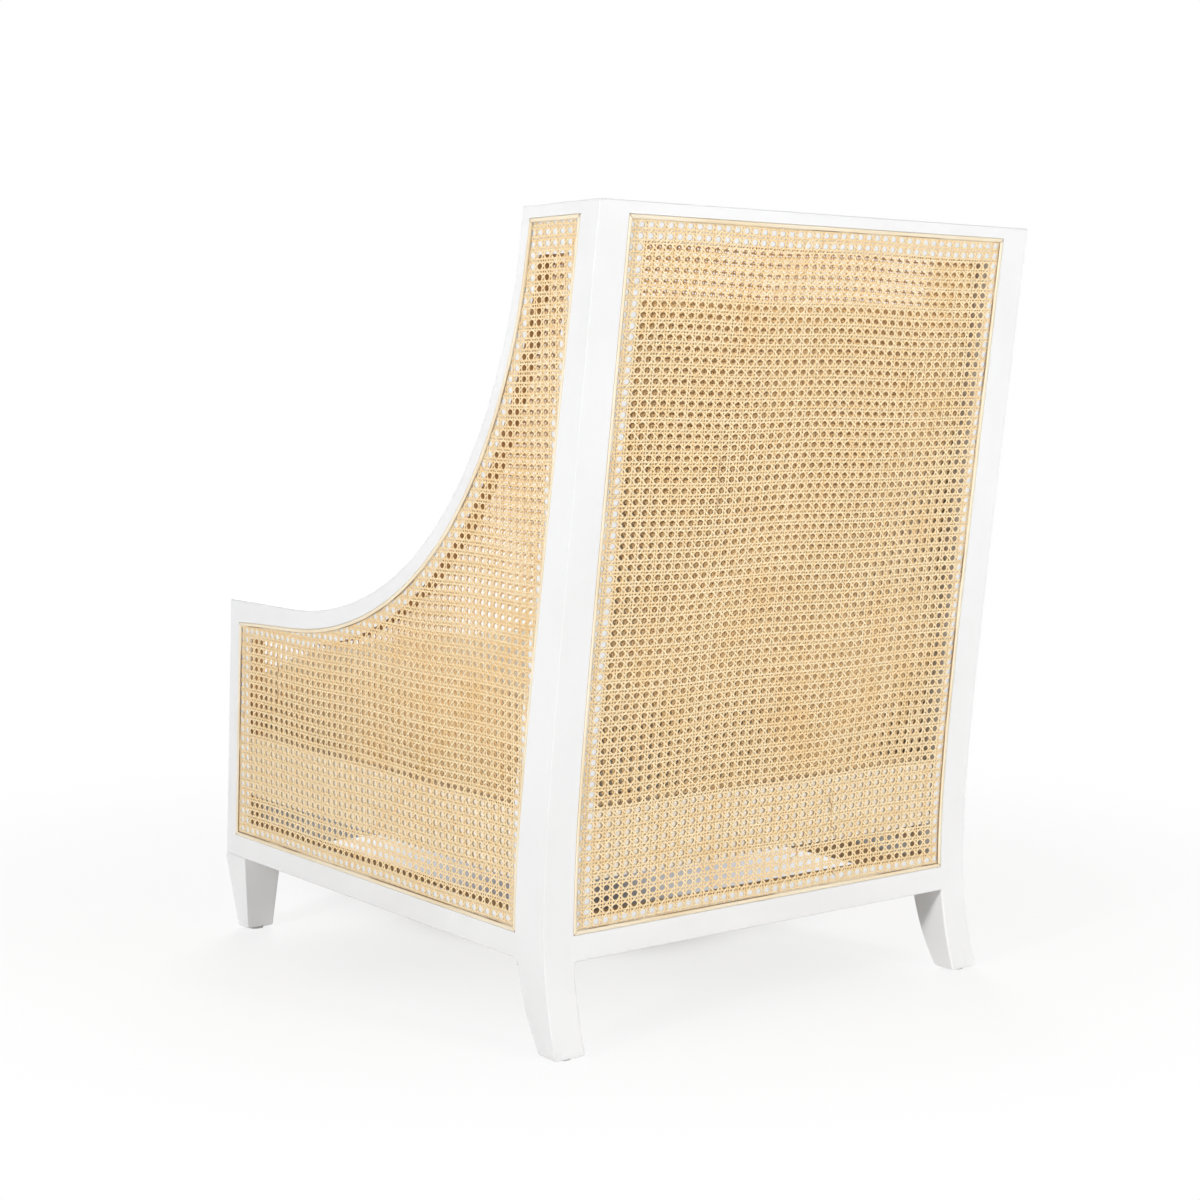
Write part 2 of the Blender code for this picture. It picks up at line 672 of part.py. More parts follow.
front_most = front_edge(RAIL_BOTTOM_HEIGHT) - LEG_PROUD
rear_most = max(back_edge(OVERALL_HEIGHT - EDGE_RADIUS), back_edge(GLIDE_LIFT + FOOT_EASE))
chair = bpy.data.objects.new("club_chair", None)
chair.location = (0, -(front_most + rear_most) / 2, 0)
parts.objects.link(chair)

lacquer = new_material("white_lacquer", (0.86, 0.86, 0.86), 0.35)
cane = new_material("natural_cane", (0.76, 0.56, 0.32), 0.5)
reed = new_material("reed_spline", (0.86, 0.72, 0.50), 0.5)
beech = new_material("beech", (0.62, 0.45, 0.28), 0.6)
webbing = new_material("seat_webbing", (0.28, 0.24, 0.20), 0.85)
fabric = new_material("ivory_linen", (0.80, 0.78, 0.72), 0.9)
nylon = new_material("glide_nylon", (0.55, 0.55, 0.55), 0.5)

for word, side in SIDES.items():
    add_rear_post(word + "_rear_post", side)
    add_front_post(word + "_front_post", side)
    add_front_leg(word + "_front_leg", side)
    add_arm_rail(word + "_arm_rail", side)
    add_wing_top_rail(word + "_wing_top_rail", side)
    add_bottom_rail(word + "_bottom_rail", side)
    add_side_batten(word + "_side_batten", side)
    add_back_batten(word + "_back_batten", side)
    add_seat_rail(word + "_seat_rail", side)
    add_corner_block(word + "_rear_corner_block", side, back_rail_front, -1)
    add_corner_block(word + "_front_corner_block", side, apron_back, 1)
    add_side_cane(word + "_outer", side, 1, RAIL_BOTTOM_HEIGHT + BOTTOM_FACE + FIT)
    add_side_cane(word + "_inner", side, -1, SEAT_RAIL_TOP_HEIGHT + FIT)
    rear_foot_y = (post_front(GLIDE_LIFT) + back_edge(GLIDE_LIFT)) / 2
    add_glide(word + "_rear_glide", side * (HALF_WIDTH - POST_WIDTH / 2), rear_foot_y)
    front_foot_x = HALF_WIDTH - LEG_OUTER_TAPER - LEG_FOOT_WIDTH / 2
    add_glide(word + "_front_glide", side * front_foot_x, front_most + LEG_FRONT_TAPER + LEG_FOOT_DEPTH / 2)

add_back_rail("back_top_rail", OVERALL_HEIGHT, BACK_TOP_FACE, BACK_TOP_LEDGE, -1)
add_back_rail("back_bottom_rail", RAIL_BOTTOM_HEIGHT, BACK_BOTTOM_FACE, BACK_BOTTOM_LEDGE, 1)
add_back_seat_rail("back_seat_rail")
add_front_apron("front_apron")
add_back_cane("back_outer", 1, RAIL_BOTTOM_HEIGHT + BACK_BOTTOM_FACE + FIT)
add_back_cane("back_inner", -1, SEAT_RAIL_TOP_HEIGHT + FIT)
for number in range(STRAP_COUNT):
    add_strap(f"seat_strap_{number + 1}", number)
add_cushions()
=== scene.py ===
import math

import bmesh
import bpy
import numpy as np
from mathutils import Matrix, Vector


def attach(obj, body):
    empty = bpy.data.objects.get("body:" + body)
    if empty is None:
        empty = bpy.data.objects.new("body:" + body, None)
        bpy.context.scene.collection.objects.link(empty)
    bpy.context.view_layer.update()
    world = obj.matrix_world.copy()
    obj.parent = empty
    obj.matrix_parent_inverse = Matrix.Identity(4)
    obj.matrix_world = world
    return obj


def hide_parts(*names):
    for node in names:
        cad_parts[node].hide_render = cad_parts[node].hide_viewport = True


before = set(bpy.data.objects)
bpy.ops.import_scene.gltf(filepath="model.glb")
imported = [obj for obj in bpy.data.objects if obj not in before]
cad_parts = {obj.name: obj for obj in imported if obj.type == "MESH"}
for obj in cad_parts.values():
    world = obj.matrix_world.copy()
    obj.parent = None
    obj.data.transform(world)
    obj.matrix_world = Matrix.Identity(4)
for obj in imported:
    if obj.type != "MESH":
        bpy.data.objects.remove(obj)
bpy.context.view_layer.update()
scene = bpy.context.scene
scene.view_settings.view_transform = "Standard"
print("frame loaded:", len(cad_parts), "solids")

# the camera stands behind the chair and to its left, a little below the top rail
lens = {
    "place": (1.731, 2.2202, 0.745),
    "right": (-0.7908, 0.61205, 0.00636),
    "down": (0.02217, 0.03902, -0.99899),
    "ahead": (-0.61168, -0.78986, -0.04443),
    "focal": 64.98,
    "sensor": 36.0,
    "shiftY": -0.10,
    "clipEnd": 50.0,
}


def addCamera():
    data = bpy.data.cameras.new("camera")
    data.lens = lens["focal"]
    data.sensor_width = lens["sensor"]
    data.shift_y = lens["shiftY"]
    data.clip_end = lens["clipEnd"]
    camera = bpy.data.objects.new("camera", data)
    axes = [Vector(lens["right"]), -Vector(lens["down"]), -Vector(lens["ahead"])]
    turn = Matrix(axes).transposed().to_4x4()
    camera.matrix_world = Matrix.Translation(lens["place"]) @ turn
    scene.collection.objects.link(camera)
    scene.camera = camera


addCamera()
print("camera set")


# one output socket; sums and products of it add Math nodes to its tree
class Wire:
    def __init__(self, finish, socket):
        self.finish = finish
        self.socket = socket

    def maths(self, operation, first, second=0.0):
        return self.finish.node("ShaderNodeMath", {"operation": operation}, {0: first, 1: second})

    def __add__(self, other):
        return self.maths("ADD", self, other)

    def __radd__(self, other):
        return self.maths("ADD", other, self)

    def __sub__(self, other):
        return self.maths("SUBTRACT", self, other)

    def __rsub__(self, other):
        return self.maths("SUBTRACT", other, self)

    def __mul__(self, other):
        return self.maths("MULTIPLY", self, other)

    def __rmul__(self, other):
        return self.maths("MULTIPLY", other, self)

    def __pow__(self, other):
        return self.maths("POWER", self, other)

    def __abs__(self):
        return self.maths("ABSOLUTE", self)

    def between(self, low, high):  # 0 below low, 1 above high, eased between them
        values = {"Value": self, "From Min": low, "From Max": high}
        return self.finish.node("ShaderNodeMapRange", {"interpolation_type": "SMOOTHSTEP"}, values)

    def within(self, low, high, soft):  # 1 from low to high, eased over soft on both sides of each
        return self.between(low - soft, low + soft) * (1 - self.between(high - soft, high + soft))

    def sine(self):
        return self.maths("SINE", self)

    def most(self, other):
        return self.maths("MAXIMUM", self, other)


# a material or world and its node tree
class Finish:
    def __init__(self, owner, name):
        self.owner = owner.new(name)
        self.owner.use_nodes = True
        self.tree = self.owner.node_tree
        self.out = next(n for n in self.tree.nodes if n.type.startswith("OUTPUT"))
        self.shader = next((n for n in self.tree.nodes if n.type == "BSDF_PRINCIPLED"), None)

    def feed(self, socket, value):
        if isinstance(value, Wire):
            self.tree.links.new(value.socket, socket)
        else:
            socket.default_value = value

    # settings first, such as an operation, then the values or links of its sockets
    def node(self, kind, settings=None, values=None, out=0):
        made = self.tree.nodes.new(kind)
        for key, value in (settings or {}).items():
            setattr(made, key, value)
        for key, value in (values or {}).items():
            self.feed(made.inputs[key], value)
        return Wire(self, made.outputs[out])

    def place(self):  # Object coordinates, in metres
        return self.node("ShaderNodeTexCoord", out=3)

    def parts(self, vector):
        split = self.node("ShaderNodeSeparateXYZ", None, {0: vector}).socket.node
        return [Wire(self, split.outputs[k]) for k in range(3)]

    def marks(self, name):  # the three parts of a per-point vector that the piece carries
        return self.parts(self.node("ShaderNodeAttribute", {"attribute_name": name}, None, 1))

    def seen(self):  # 1 for what the camera sees, straight or in a gloss, 0 for light that falls on things
        path = self.node("ShaderNodeLightPath").socket.node
        kinds = ("Camera", "Glossy", "Transmission")
        camera, glossy, through = (Wire(self, path.outputs["Is " + kind + " Ray"]) for kind in kinds)
        return camera.most(glossy).most(through)

    def joined(self, x, y, z):
        return self.node("ShaderNodeCombineXYZ", None, {0: x, 1: y, 2: z})

    def noise(self, vector, scale, detail=2.0, rough=0.5):
        values = {"Vector": vector, "Scale": scale, "Detail": detail, "Roughness": rough}
        return self.node("ShaderNodeTexNoise", None, values)

    def streaks(self, axes, scales, detail, rough=0.5):  # noise drawn out along the axes of small scale
        x, y, z = (axis * scale for axis, scale in zip(axes, scales))
        return self.noise(self.joined(x, y, z), 1.0, detail, rough)

    def mix(self, factor, first, second):
        first, second = ((*c, 1) if isinstance(c, tuple) else c for c in (first, second))
        return self.node("ShaderNodeMix", {"data_type": "RGBA"}, {0: factor, 6: first, 7: second}, 2)

    def bump(self, height, depth, strength):
        return self.node("ShaderNodeBump", None, {"Height": height, "Distance": depth, "Strength": strength})

    def surface(self, values):
        for key, value in values.items():
            self.feed(self.shader.inputs[key], value)
        return self.owner


# satin white lacquer on wood: faint mottling, a trace of grain under the paint, scuffs low on the legs
lacquer = {
    "white": (0.865, 0.867, 0.872),
    "shade": (0.832, 0.832, 0.834),
    "scuff": (0.700, 0.672, 0.630),
    "bare": (0.620, 0.400, 0.210),  # brown on the faces between the two sheets of cane
    "roughness": 0.46,
    "mottleScale": 5.5,
    "grainScales": (160, 160, 9),
    "skinScale": 900.0,
    "scuffScale": 46.0,
    "scuffRise": (0.004, 0.050),
    "bumpDepth": 0.00012,
    "insideX": (-0.3084, 0.3084),  # the box under the seat whose inside faces are brown, too
    "insideY": (-0.3817, 0.2953),
    "insideZ": (0.1028, 0.2675),
    "insideEdge": 0.0004,
}


def lacquerFinish():
    paint = Finish(bpy.data.materials, "satinLacquer")
    place = paint.place()
    x, y, z = paint.parts(place)
    mottle = paint.noise(place, lacquer["mottleScale"], 3.0)
    grain = paint.streaks((x, y, z), lacquer["grainScales"], 3.0)
    skin = paint.noise(place, lacquer["skinScale"], 1.0)
    worn = paint.noise(place, lacquer["scuffScale"], 5.0, 0.7).between(0.56, 0.74)
    scuff = worn * (1 - z.between(*lacquer["scuffRise"]))
    soft = lacquer["insideEdge"]
    inside = x.within(*lacquer["insideX"], soft) * y.within(*lacquer["insideY"], soft)
    inside = inside * z.within(*lacquer["insideZ"], soft)
    colour = paint.mix(mottle.between(0.35, 0.72), lacquer["white"], lacquer["shade"])
    colour = paint.mix(scuff * 0.35, colour, lacquer["scuff"])
    # brown on the faces between the cane sheets and on the inside faces of the box under the seat
    colour = paint.mix(paint.marks("bare")[0].most(inside), colour, lacquer["bare"])
    return paint.surface({
        "Base Color": colour,
        "Roughness": lacquer["roughness"] + 0.10 * mottle + 0.20 * scuff,
        "Coat Weight": 0.03,
        "Coat Roughness": 0.30,
        "Normal": paint.bump(grain * 0.7 + skin * 0.3, lacquer["bumpDepth"], 0.5),
    })


# split cane: each strand has its own tone, with honey streaks, fine fibres and a few brown flecks
# a strand's seed is its family's number, 3 more on an inner sheet, and its own share of 1 on top
seeds = {"upright": 0, "row": 1, "slant": 2, "inner": 3, "fibre": 7}
caneSkin = {
    "pale": (0.990, 0.830, 0.550),
    "straw": (0.920, 0.675, 0.350),
    "amber": (0.940, 0.640, 0.290),
    "honey": (0.780, 0.460, 0.160),
    "fleck": (0.330, 0.165, 0.065),
    # painted shade for each strand's edges, where it curves down between strands
    "edge": (0.480, 0.260, 0.090),
    "ownScale": 917,
    "driftScales": (11, 513),
    "fibreScales": (70, 2.6, 331),
    "fleckScales": (55, 0.8, 777),
    "patchScale": 13.0,
    "bumpDepth": 0.00015,
}


def caneFinish():
    split = Finish(bpy.data.materials, "splitCane")
    along, seed, across = split.marks("strand")
    own = split.noise(split.joined(seed * caneSkin["ownScale"], 0, 0), 1.0, 0.0)
    driftAlong, driftSeed = caneSkin["driftScales"]
    drift = split.noise(split.joined(along * driftAlong, seed * driftSeed, 0), 1.0, 3.0, 0.6)
    fibre = split.streaks((along, across, seed), caneSkin["fibreScales"], 3.0, 0.65)
    fleck = split.streaks((along, across, seed), caneSkin["fleckScales"], 2.0, 0.6)
    inner = seed.between(seeds["inner"] - 0.1, seeds["inner"])
    slant = seed.between(seeds["slant"] - 0.1, seeds["slant"]) * (1 - inner)
    loose = seed.between(seeds["fibre"] - 1.0, seeds["fibre"] - 0.5)
    patch = split.noise(split.place(), caneSkin["patchScale"], 3.0, 0.6).between(0.50, 0.72)
    # the slants, which lie on top of the weave, are painted paler: a painted highlight on the uppermost
    # strands
    tone = (0.25 + 0.75 * own.between(0.30, 0.70)) * (1 - 0.90 * slant)
    colour = split.mix(tone, caneSkin["pale"], caneSkin["straw"])
    stains = (
        (patch * 0.40, "amber"),
        (drift.between(0.54, 0.80) * 0.75, "honey"),
        (fibre.between(0.45, 0.85) * 0.35, "honey"),
        # the inner sheets, seen only in shade through the holes, are tinted amber as painted warm shade
        (inner * 0.45, "amber"),
        # painted shade darkens the edges of each strand
        (abs(across) ** 4 * 0.60, "edge"),
        (fleck.between(0.72, 0.80) * 0.75, "fleck"),
        (loose * 0.85, "fleck"),
    )
    for share, tint in stains:  # each stain lies over those before it
        colour = split.mix(share, colour, caneSkin[tint])
    return split.surface({
        "Base Color": colour,
        "Roughness": 0.40 + 0.25 * fibre,
        "Normal": split.bump(fibre, caneSkin["bumpDepth"], 0.6),
    })


# round reed pressed into the groove over the cane's edge, darker along its inner side
reedSkin = {
    "pale": (0.900, 0.800, 0.620),
    "warm": (0.840, 0.700, 0.480),
    "line": (0.230, 0.130, 0.060),
    "driftScale": 9,
    "fibreScales": (60, 4),
    "patchScale": 16,
    "joint": (0.0006, 0.0016),  # the dark line of a mitre ends between these distances from it
    "bumpDepth": 0.00012,
}


def reedFinish():
    reed = Finish(bpy.data.materials, "reedSpline")
    along, corner, across = reed.marks("strand")
    drift = reed.noise(reed.joined(along * reedSkin["driftScale"], 3.1, 0), 1.0, 3.0)
    fibreAlong, fibreAcross = reedSkin["fibreScales"]
    fibre = reed.noise(reed.joined(along * fibreAlong, across * fibreAcross, 1.7), 1.0, 3.0, 0.65)
    patchy = reed.noise(reed.joined(along * reedSkin["patchScale"], 8.4, 0), 1.0, 2.0).between(0.40, 0.62)
    # a dark band along the reed's inner side and over its bead
    line = across.between(0.42, 0.66) * (0.35 + 0.60 * patchy)
    joint = (1 - corner.between(*reedSkin["joint"])) * 0.85
    colour = reed.mix(drift.between(0.40, 0.70), reedSkin["pale"], reedSkin["warm"])
    colour = reed.mix(fibre.between(0.50, 0.85) * 0.30, colour, reedSkin["warm"])
    colour = reed.mix(line.most(joint), colour, reedSkin["line"])
    return reed.surface({
        "Base Color": colour,
        "Roughness": 0.42 + 0.22 * fibre,
        "Normal": reed.bump(fibre, reedSkin["bumpDepth"], 0.5),
    })


# plain-woven ivory linen: threads laid over and under on whichever plane the cloth faces, with slubs
linen = {
    "pale": (0.810, 0.760, 0.660),
    "deep": (0.690, 0.625, 0.510),
    "threadsPerMetre": 820.0,
    "waver": 0.9,
    "waverScale": 55.0,
    "slubScales": ((260, 22, 22), (22, 260, 22)),
    "shadeScale": 7.0,
    "bumpDepth": 0.0004,
}


def linenFinish():
    cloth = Finish(bpy.data.materials, "ivoryLinen")
    place = cloth.place()
    x, y, z = cloth.parts(place)
    faces = [abs(n) ** 4 for n in cloth.parts(cloth.node("ShaderNodeNewGeometry", out=1))]
    turn = linen["threadsPerMetre"] * math.pi
    waver = linen["waver"] * cloth.noise(place, linen["waverScale"])
    waves = [(c * turn + waver).sine() for c in (x, y, z)]

    def plainWeave(a, b):  # over and under: the product of the two threads' waves, with rounded threads
        return abs(a) * 0.5 + abs(b) * 0.5 + 0.35 * (a * b)

    total = faces[0] + faces[1] + faces[2]
    woven = plainWeave(waves[1], waves[2]) * faces[0] + plainWeave(waves[0], waves[2]) * faces[1]
    woven = (woven + plainWeave(waves[0], waves[1]) * faces[2]) * total**-1.0
    wefts, warps = (cloth.streaks((x, y, z), scales, 3.0) for scales in linen["slubScales"])
    slub = wefts.between(0.55, 0.80).most(warps.between(0.58, 0.82))
    shade = cloth.noise(place, linen["shadeScale"], 3.0)
    colour = cloth.mix(woven.between(0.10, 0.95), linen["deep"], linen["pale"])
    colour = cloth.mix(slub * 0.30, colour, linen["deep"])
    colour = cloth.mix(shade.between(0.45, 0.80) * 0.25, colour, linen["deep"])
    return cloth.surface({
        "Base Color": colour,
        "Roughness": 0.86 + 0.10 * slub,
        "Normal": cloth.bump(woven + 0.5 * slub, linen["bumpDepth"], 0.6),
    })


# planed beech for the blocks inside the seat frame
beechGrain = {
    "pale": (0.690, 0.480, 0.300),
    "late": (0.500, 0.310, 0.170),
    "bandScales": (6, 6, 90),
    "poreScales": (60, 60, 900),
    "bumpDepth": 0.0002,
}


def beechFinish():
    beech = Finish(bpy.data.materials, "planedBeech")
    axes = beech.parts(beech.place())
    bands = beech.streaks(axes, beechGrain["bandScales"], 4.0, 0.6)
    pores = beech.streaks(axes, beechGrain["poreScales"], 2.0)
    colour = beech.mix(bands.between(0.38, 0.66), beechGrain["pale"], beechGrain["late"])
    return beech.surface({
        "Base Color": beech.mix(pores.between(0.60, 0.75) * 0.4, colour, beechGrain["late"]),
        "Roughness": 0.55 + 0.2 * bands,
        "Normal": beech.bump(pores, beechGrain["bumpDepth"], 0.5),
    })


# jute webbing under the seat, woven in two directions
webThread = {
    "fibre": (0.420, 0.330, 0.220),
    "gap": (0.170, 0.125, 0.080),
    "pitch": 0.0024,
    "hairScale": 400.0,
    "bumpDepth": 0.0006,
}


def webFinish():
    web = Finish(bpy.data.materials, "juteWebbing")
    place = web.place()
    x, y = web.parts(place)[:2]
    turn = 2 * math.pi / webThread["pitch"]
    woven = (x * turn).sine() * (y * turn).sine() * 0.5 + 0.5
    hair = web.noise(place, webThread["hairScale"], 3.0)
    thread = (woven * 0.8 + hair * 0.4).between(0.25, 0.9)
    return web.surface({
        "Base Color": web.mix(thread, webThread["gap"], webThread["fibre"]),
        "Roughness": 0.80 + 0.15 * hair,
        "Normal": web.bump(woven, webThread["bumpDepth"], 0.8),
    })


# cream primer on the seat rails, brushed on along the grain, seen through the holes of the outer cane
primer = {
    "cream": (0.950, 0.885, 0.770),
    "thin": (0.880, 0.800, 0.660),
    "brushScales": (14, 14, 260),
    "bumpDepth": 0.00010,
}


def primerFinish():
    coat = Finish(bpy.data.materials, "creamPrimer")
    brushed = coat.streaks(coat.parts(coat.place()), primer["brushScales"], 3.0, 0.6)
    colour = coat.mix(brushed.between(0.45, 0.80), primer["cream"], primer["thin"])
    return coat.surface({
        "Base Color": colour,
        "Roughness": 0.62 + 0.15 * brushed,
        "Normal": coat.bump(brushed, primer["bumpDepth"], 0.5),
    })


# moulded nylon glides, scuffed underneath
nylonSkin = {
    "grey": (0.480, 0.480, 0.475),
    "scuffed": (0.330, 0.325, 0.315),
    "wearScale": 260.0,
    "bumpDepth": 0.0001,
}


def nylonFinish():
    nylon = Finish(bpy.data.materials, "glideNylon")
    wear = nylon.noise(nylon.place(), nylonSkin["wearScale"], 4.0, 0.7)
    return nylon.surface({
        "Base Color": nylon.mix(wear.between(0.45, 0.70), nylonSkin["grey"], nylonSkin["scuffed"]),
        "Roughness": 0.42 + 0.25 * wear,
        "Normal": nylon.bump(wear, nylonSkin["bumpDepth"], 0.5),
    })


paintedWhite = lacquerFinish()
splitCane = caneFinish()
reedSpline = reedFinish()
ivoryLinen = linenFinish()
planedBeech = beechFinish()
creamPrimer = primerFinish()
juteWebbing = webFinish()
glideNylon = nylonFinish()
print("finishes made")


# a mesh from points and faces; faces is a list of arrays, each with one corner count
# extras holds per-point vectors by name, and unwrap the per-corner places of each face array
def addPiece(name, points, faces, finish, slot, replaced, sharp=35.0, extras=None, unwrap=None):
    points = np.asarray(points, np.float32).reshape(-1, 3)
    used = np.unique(np.concatenate([f.ravel() for f in faces]))
    fresh = np.zeros(len(points), np.int64)
    fresh[used] = np.arange(len(used))
    corners = np.concatenate([fresh[f].ravel() for f in faces]).astype(np.int32)
    counts = np.concatenate([np.full(len(f), f.shape[1]) for f in faces])
    mesh = bpy.data.meshes.new(name)
    mesh.vertices.add(len(used))
    mesh.vertices.foreach_set("co", points[used].ravel())
    mesh.loops.add(len(corners))
    mesh.loops.foreach_set("vertex_index", corners)
    mesh.polygons.add(len(counts))
    mesh.polygons.foreach_set("loop_start", np.concatenate([[0], np.cumsum(counts)[:-1]]).astype(np.int32))
    for key, values in (extras or {}).items():
        layer = mesh.attributes.new(key, "FLOAT_VECTOR", "POINT")
        layer.data.foreach_set("vector", np.asarray(values, np.float32).reshape(-1, 3)[used].ravel())
    if unwrap:
        layer = mesh.uv_layers.new(name="OFBake")
        places = np.concatenate([u.reshape(-1, 2) for u in unwrap])
        layer.uv.foreach_set("vector", places.astype(np.float32).ravel())
    mesh.update(calc_edges=True)
    mesh.validate()
    mesh.shade_smooth()
    mesh.set_sharp_from_angle(angle=math.radians(sharp))
    mesh.materials.append(finish)
    piece = bpy.data.objects.new(name, mesh)
    scene.collection.objects.link(piece)
    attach(piece, "root")
    if replaced:
        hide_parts(*replaced)
    return piece


# faces between neighbouring rings of a (stations, ring, 3) array; shut joins the last station to the first
def ringFaces(stations, ring, shut=False, turned=False):
    rows = np.arange(stations if shut else stations - 1)[:, None]
    cols = np.arange(ring)[None, :]
    ahead, beside = (rows + 1) % stations, (cols + 1) % ring
    quads = np.stack(np.broadcast_arrays(
        rows * ring + cols, rows * ring + beside, ahead * ring + beside, ahead * ring + cols
    ), -1).reshape(-1, 4)
    faces = [quads] if shut else [quads, cols[:, ::-1], cols + (stations - 1) * ring]
    return [f[:, ::-1] for f in faces] if turned else faces


# a white-lacquered piece from the rings of its section; bare marks the ring's points that are coloured brown
def addPainted(name, rings, turned, nodes, sharp=35.0, bare=None):
    faces = ringFaces(*rings.shape[:2], turned=turned)
    extras = None if bare is None else {"bare": np.broadcast_to(bare[:, None], rings.shape)}
    return addPiece(name, rings, faces, paintedWhite, "white_lacquer", nodes, sharp, extras)


def unit(vectors):  # the same directions, at length 1
    return vectors / np.linalg.norm(vectors, axis=-1, keepdims=True)


def wayAlong(path):  # each point's distance from the start, along the path
    steps = np.linalg.norm(np.diff(path, axis=-2), axis=-1)
    return np.concatenate([np.zeros((*steps.shape[:-1], 1)), np.cumsum(steps, -1)], -1)


# sizes that the frame's curves share, in metres
chair = {
    "height": 0.940,
    "halfWidth": 0.335,
    "innerFace": 0.308,
    "depth": 0.732,
    "backThickness": 0.027,
    "railBottom": 0.102,
    "rebate": 0.003,
    "fit": 0.0003,
    "middle": 0.3215915,  # from the rear posts' knees to the middle of the chair's depth
}
post = {
    "width": 0.0415,
    "kneeDepth": 0.0545,
    "topDepth": 0.031,
    "knee": 0.143,
    "rake": 0.14,
    "onset": 0.148,
    "backSweep": 0.0245,
    "frontSweep": 0.048,
    "edge": 0.0022,
    "corner": 0.0006,
    "windowEdge": 0.0006,
    "foot": 0.0025,
    "footRings": (0.0, 0.0008, 0.0025),  # above the foot, where its edge is eased in by footEase
    "footEase": (0.0025, 0.0008, 0.0),
    "topRings": (0.0022, 0.0011, 0.0003, 0.0),  # below the top, where its edge is eased in by topEase
    "topEase": (0.0, 0.0003, 0.0011, 0.0022),
    "legSpan": (0.0085, 0.0920, 16),  # heights of the other rings: from, to and how many
    "kneeSpan": (0.0960, 0.3000, 30),
    "stileSpan": (0.3100, 0.9360, 40),
    "legTop": 0.098,  # above it, the edges beside the windows are sharper
}
edging = {
    "radius": 0.0022,
    "ease": 0.0006,
    "bow": 0.3,  # the middle of an eased edge lies this share of its size from the faces
    "support": 0.0007,
    "steps": 6,
    "fillet": 0.008,
    "filletSteps": 9,
    "into": 0.0015,  # how far a rail's end runs into its post
    "sunk": 0.00006,  # and how far it lies under the post's face there
    "mitreSlant": 0.4,  # a section that slants more than this is a mitre's diagonal
    "mitreStretch": 1.41,
}
arm = {
    "height": 0.451,
    "levelRun": 0.162,
    "faceFront": 0.030,
    "faceTop": 0.0142,
    "ledge": 0.020,
    "pull": 0.294,
    "wingDepth": 0.1385,
    "wingPull": 0.2826,
    "wingLean": math.radians(7.54),
    "stations": 72,
    "levelStations": 5,
    "mitreRoom": 0.010,
}
sideFrame = {
    "frontLean": 0.0352,
    "frontFace": 0.0246,
    "frontLedge": 0.0295,
    "bottomFace": 0.0287,
    "bottomLedge": 0.021,
    "wingTopFace": 0.0144,
    "wingTopLedge": 0.0405,
}


def arcOffset(drop, run, sweep):  # a circular arc: how far it has moved sideways, drop below its start
    radius = (run**2 + sweep**2) / (2 * sweep)
    return radius - np.sqrt(radius**2 - np.clip(drop, 0, run) ** 2)


def backEdge(z):  # y of the back face: a hyperbola that sets in above the knee, an arc below it
    rise = np.asarray(z, float) - post["knee"]
    above = post["rake"] * (np.hypot(rise, post["onset"]) - post["onset"])
    return chair["middle"] + np.where(rise >= 0, above, arcOffset(-rise, post["knee"], post["backSweep"]))


def postFront(z):  # y of the post's front face: a straight taper above the knee, a tighter arc below it
    rise = np.asarray(z, float) - post["knee"]
    taper = rise / (chair["height"] - post["knee"])
    above = backEdge(z) - post["kneeDepth"] + (post["kneeDepth"] - post["topDepth"]) * taper
    below = chair["middle"] + arcOffset(-rise, post["knee"], post["frontSweep"]) - post["kneeDepth"]
    return np.where(rise >= 0, above, below)


def frontEdge(z):  # y of the front stile's face, which leans back a little
    lean = sideFrame["frontLean"] * (np.asarray(z, float) - chair["railBottom"])
    return chair["middle"] - chair["depth"] + lean


# outer, face and ledge edges (y, z) of the arm rail: a level run, then a cubic curve up into the wing
# the face narrows with the square of the way left
def armStations():
    top, level = chair["height"], arm["height"]
    start = np.array((frontEdge(level) + arm["levelRun"], level))
    end = np.array((backEdge(top) - arm["wingDepth"], top))
    lean = np.array((math.sin(arm["wingLean"]), math.cos(arm["wingLean"])))
    pulls = np.array((start, start + (arm["pull"], 0), end - arm["wingPull"] * lean, end))
    t = np.linspace(0, 1, arm["stations"])[:, None]
    curve = sum(math.comb(3, k) * (1 - t) ** (3 - k) * t**k * pulls[k] for k in range(4))
    pulled = np.diff(pulls, axis=0)
    heading = unit(sum(math.comb(2, k) * (1 - t) ** (2 - k) * t**k * pulled[k] for k in range(3)))
    count = arm["levelStations"]
    run = np.linspace(frontEdge(level), start[0], count, endpoint=False)
    edge = np.vstack([np.stack([run, np.full(count, level)], 1), curve])
    into = np.vstack([np.tile((0.0, -1.0), (count, 1)), np.stack([heading[:, 1], -heading[:, 0]], 1)])
    way = wayAlong(edge)[:, None]
    face = arm["faceTop"] + (arm["faceFront"] - arm["faceTop"]) * (1 - way / way[-1]) ** 2
    rows = np.stack([edge, edge + face * into, edge + (face + arm["ledge"]) * into], 1)
    first, last, room = frontArmMitre(), wingMitre(), arm["mitreRoom"]
    clear = (edge[:, 0] > first[2, 0] + room) & (rows[:, 2, 1] < last[2, 1] - room)
    return rows[clear & (edge[:, 1] < last[1, 1])]


# outer, face and ledge corners (y, z) of each mitre
def wingMitre():
    heights = np.cumsum((chair["height"], -sideFrame["wingTopFace"], -sideFrame["wingTopLedge"]))
    cornerY = float(backEdge(chair["height"])) - arm["wingDepth"]
    lean = math.tan(arm["wingLean"])
    across = np.cumsum((cornerY, arm["faceTop"], arm["ledge"]))
    return np.stack([across + (heights - chair["height"]) * lean, heights], 1)


def frontMitre(height, face, ledge):
    heights = np.cumsum((height, face, ledge))
    across = np.cumsum((0, sideFrame["frontFace"], sideFrame["frontLedge"]))
    return np.stack([frontEdge(heights) + across, heights], 1)


def frontArmMitre():
    return frontMitre(arm["height"], -arm["faceFront"], -arm["ledge"])


def frontBottomMitre():
    return frontMitre(chair["railBottom"], sideFrame["bottomFace"], sideFrame["bottomLedge"])


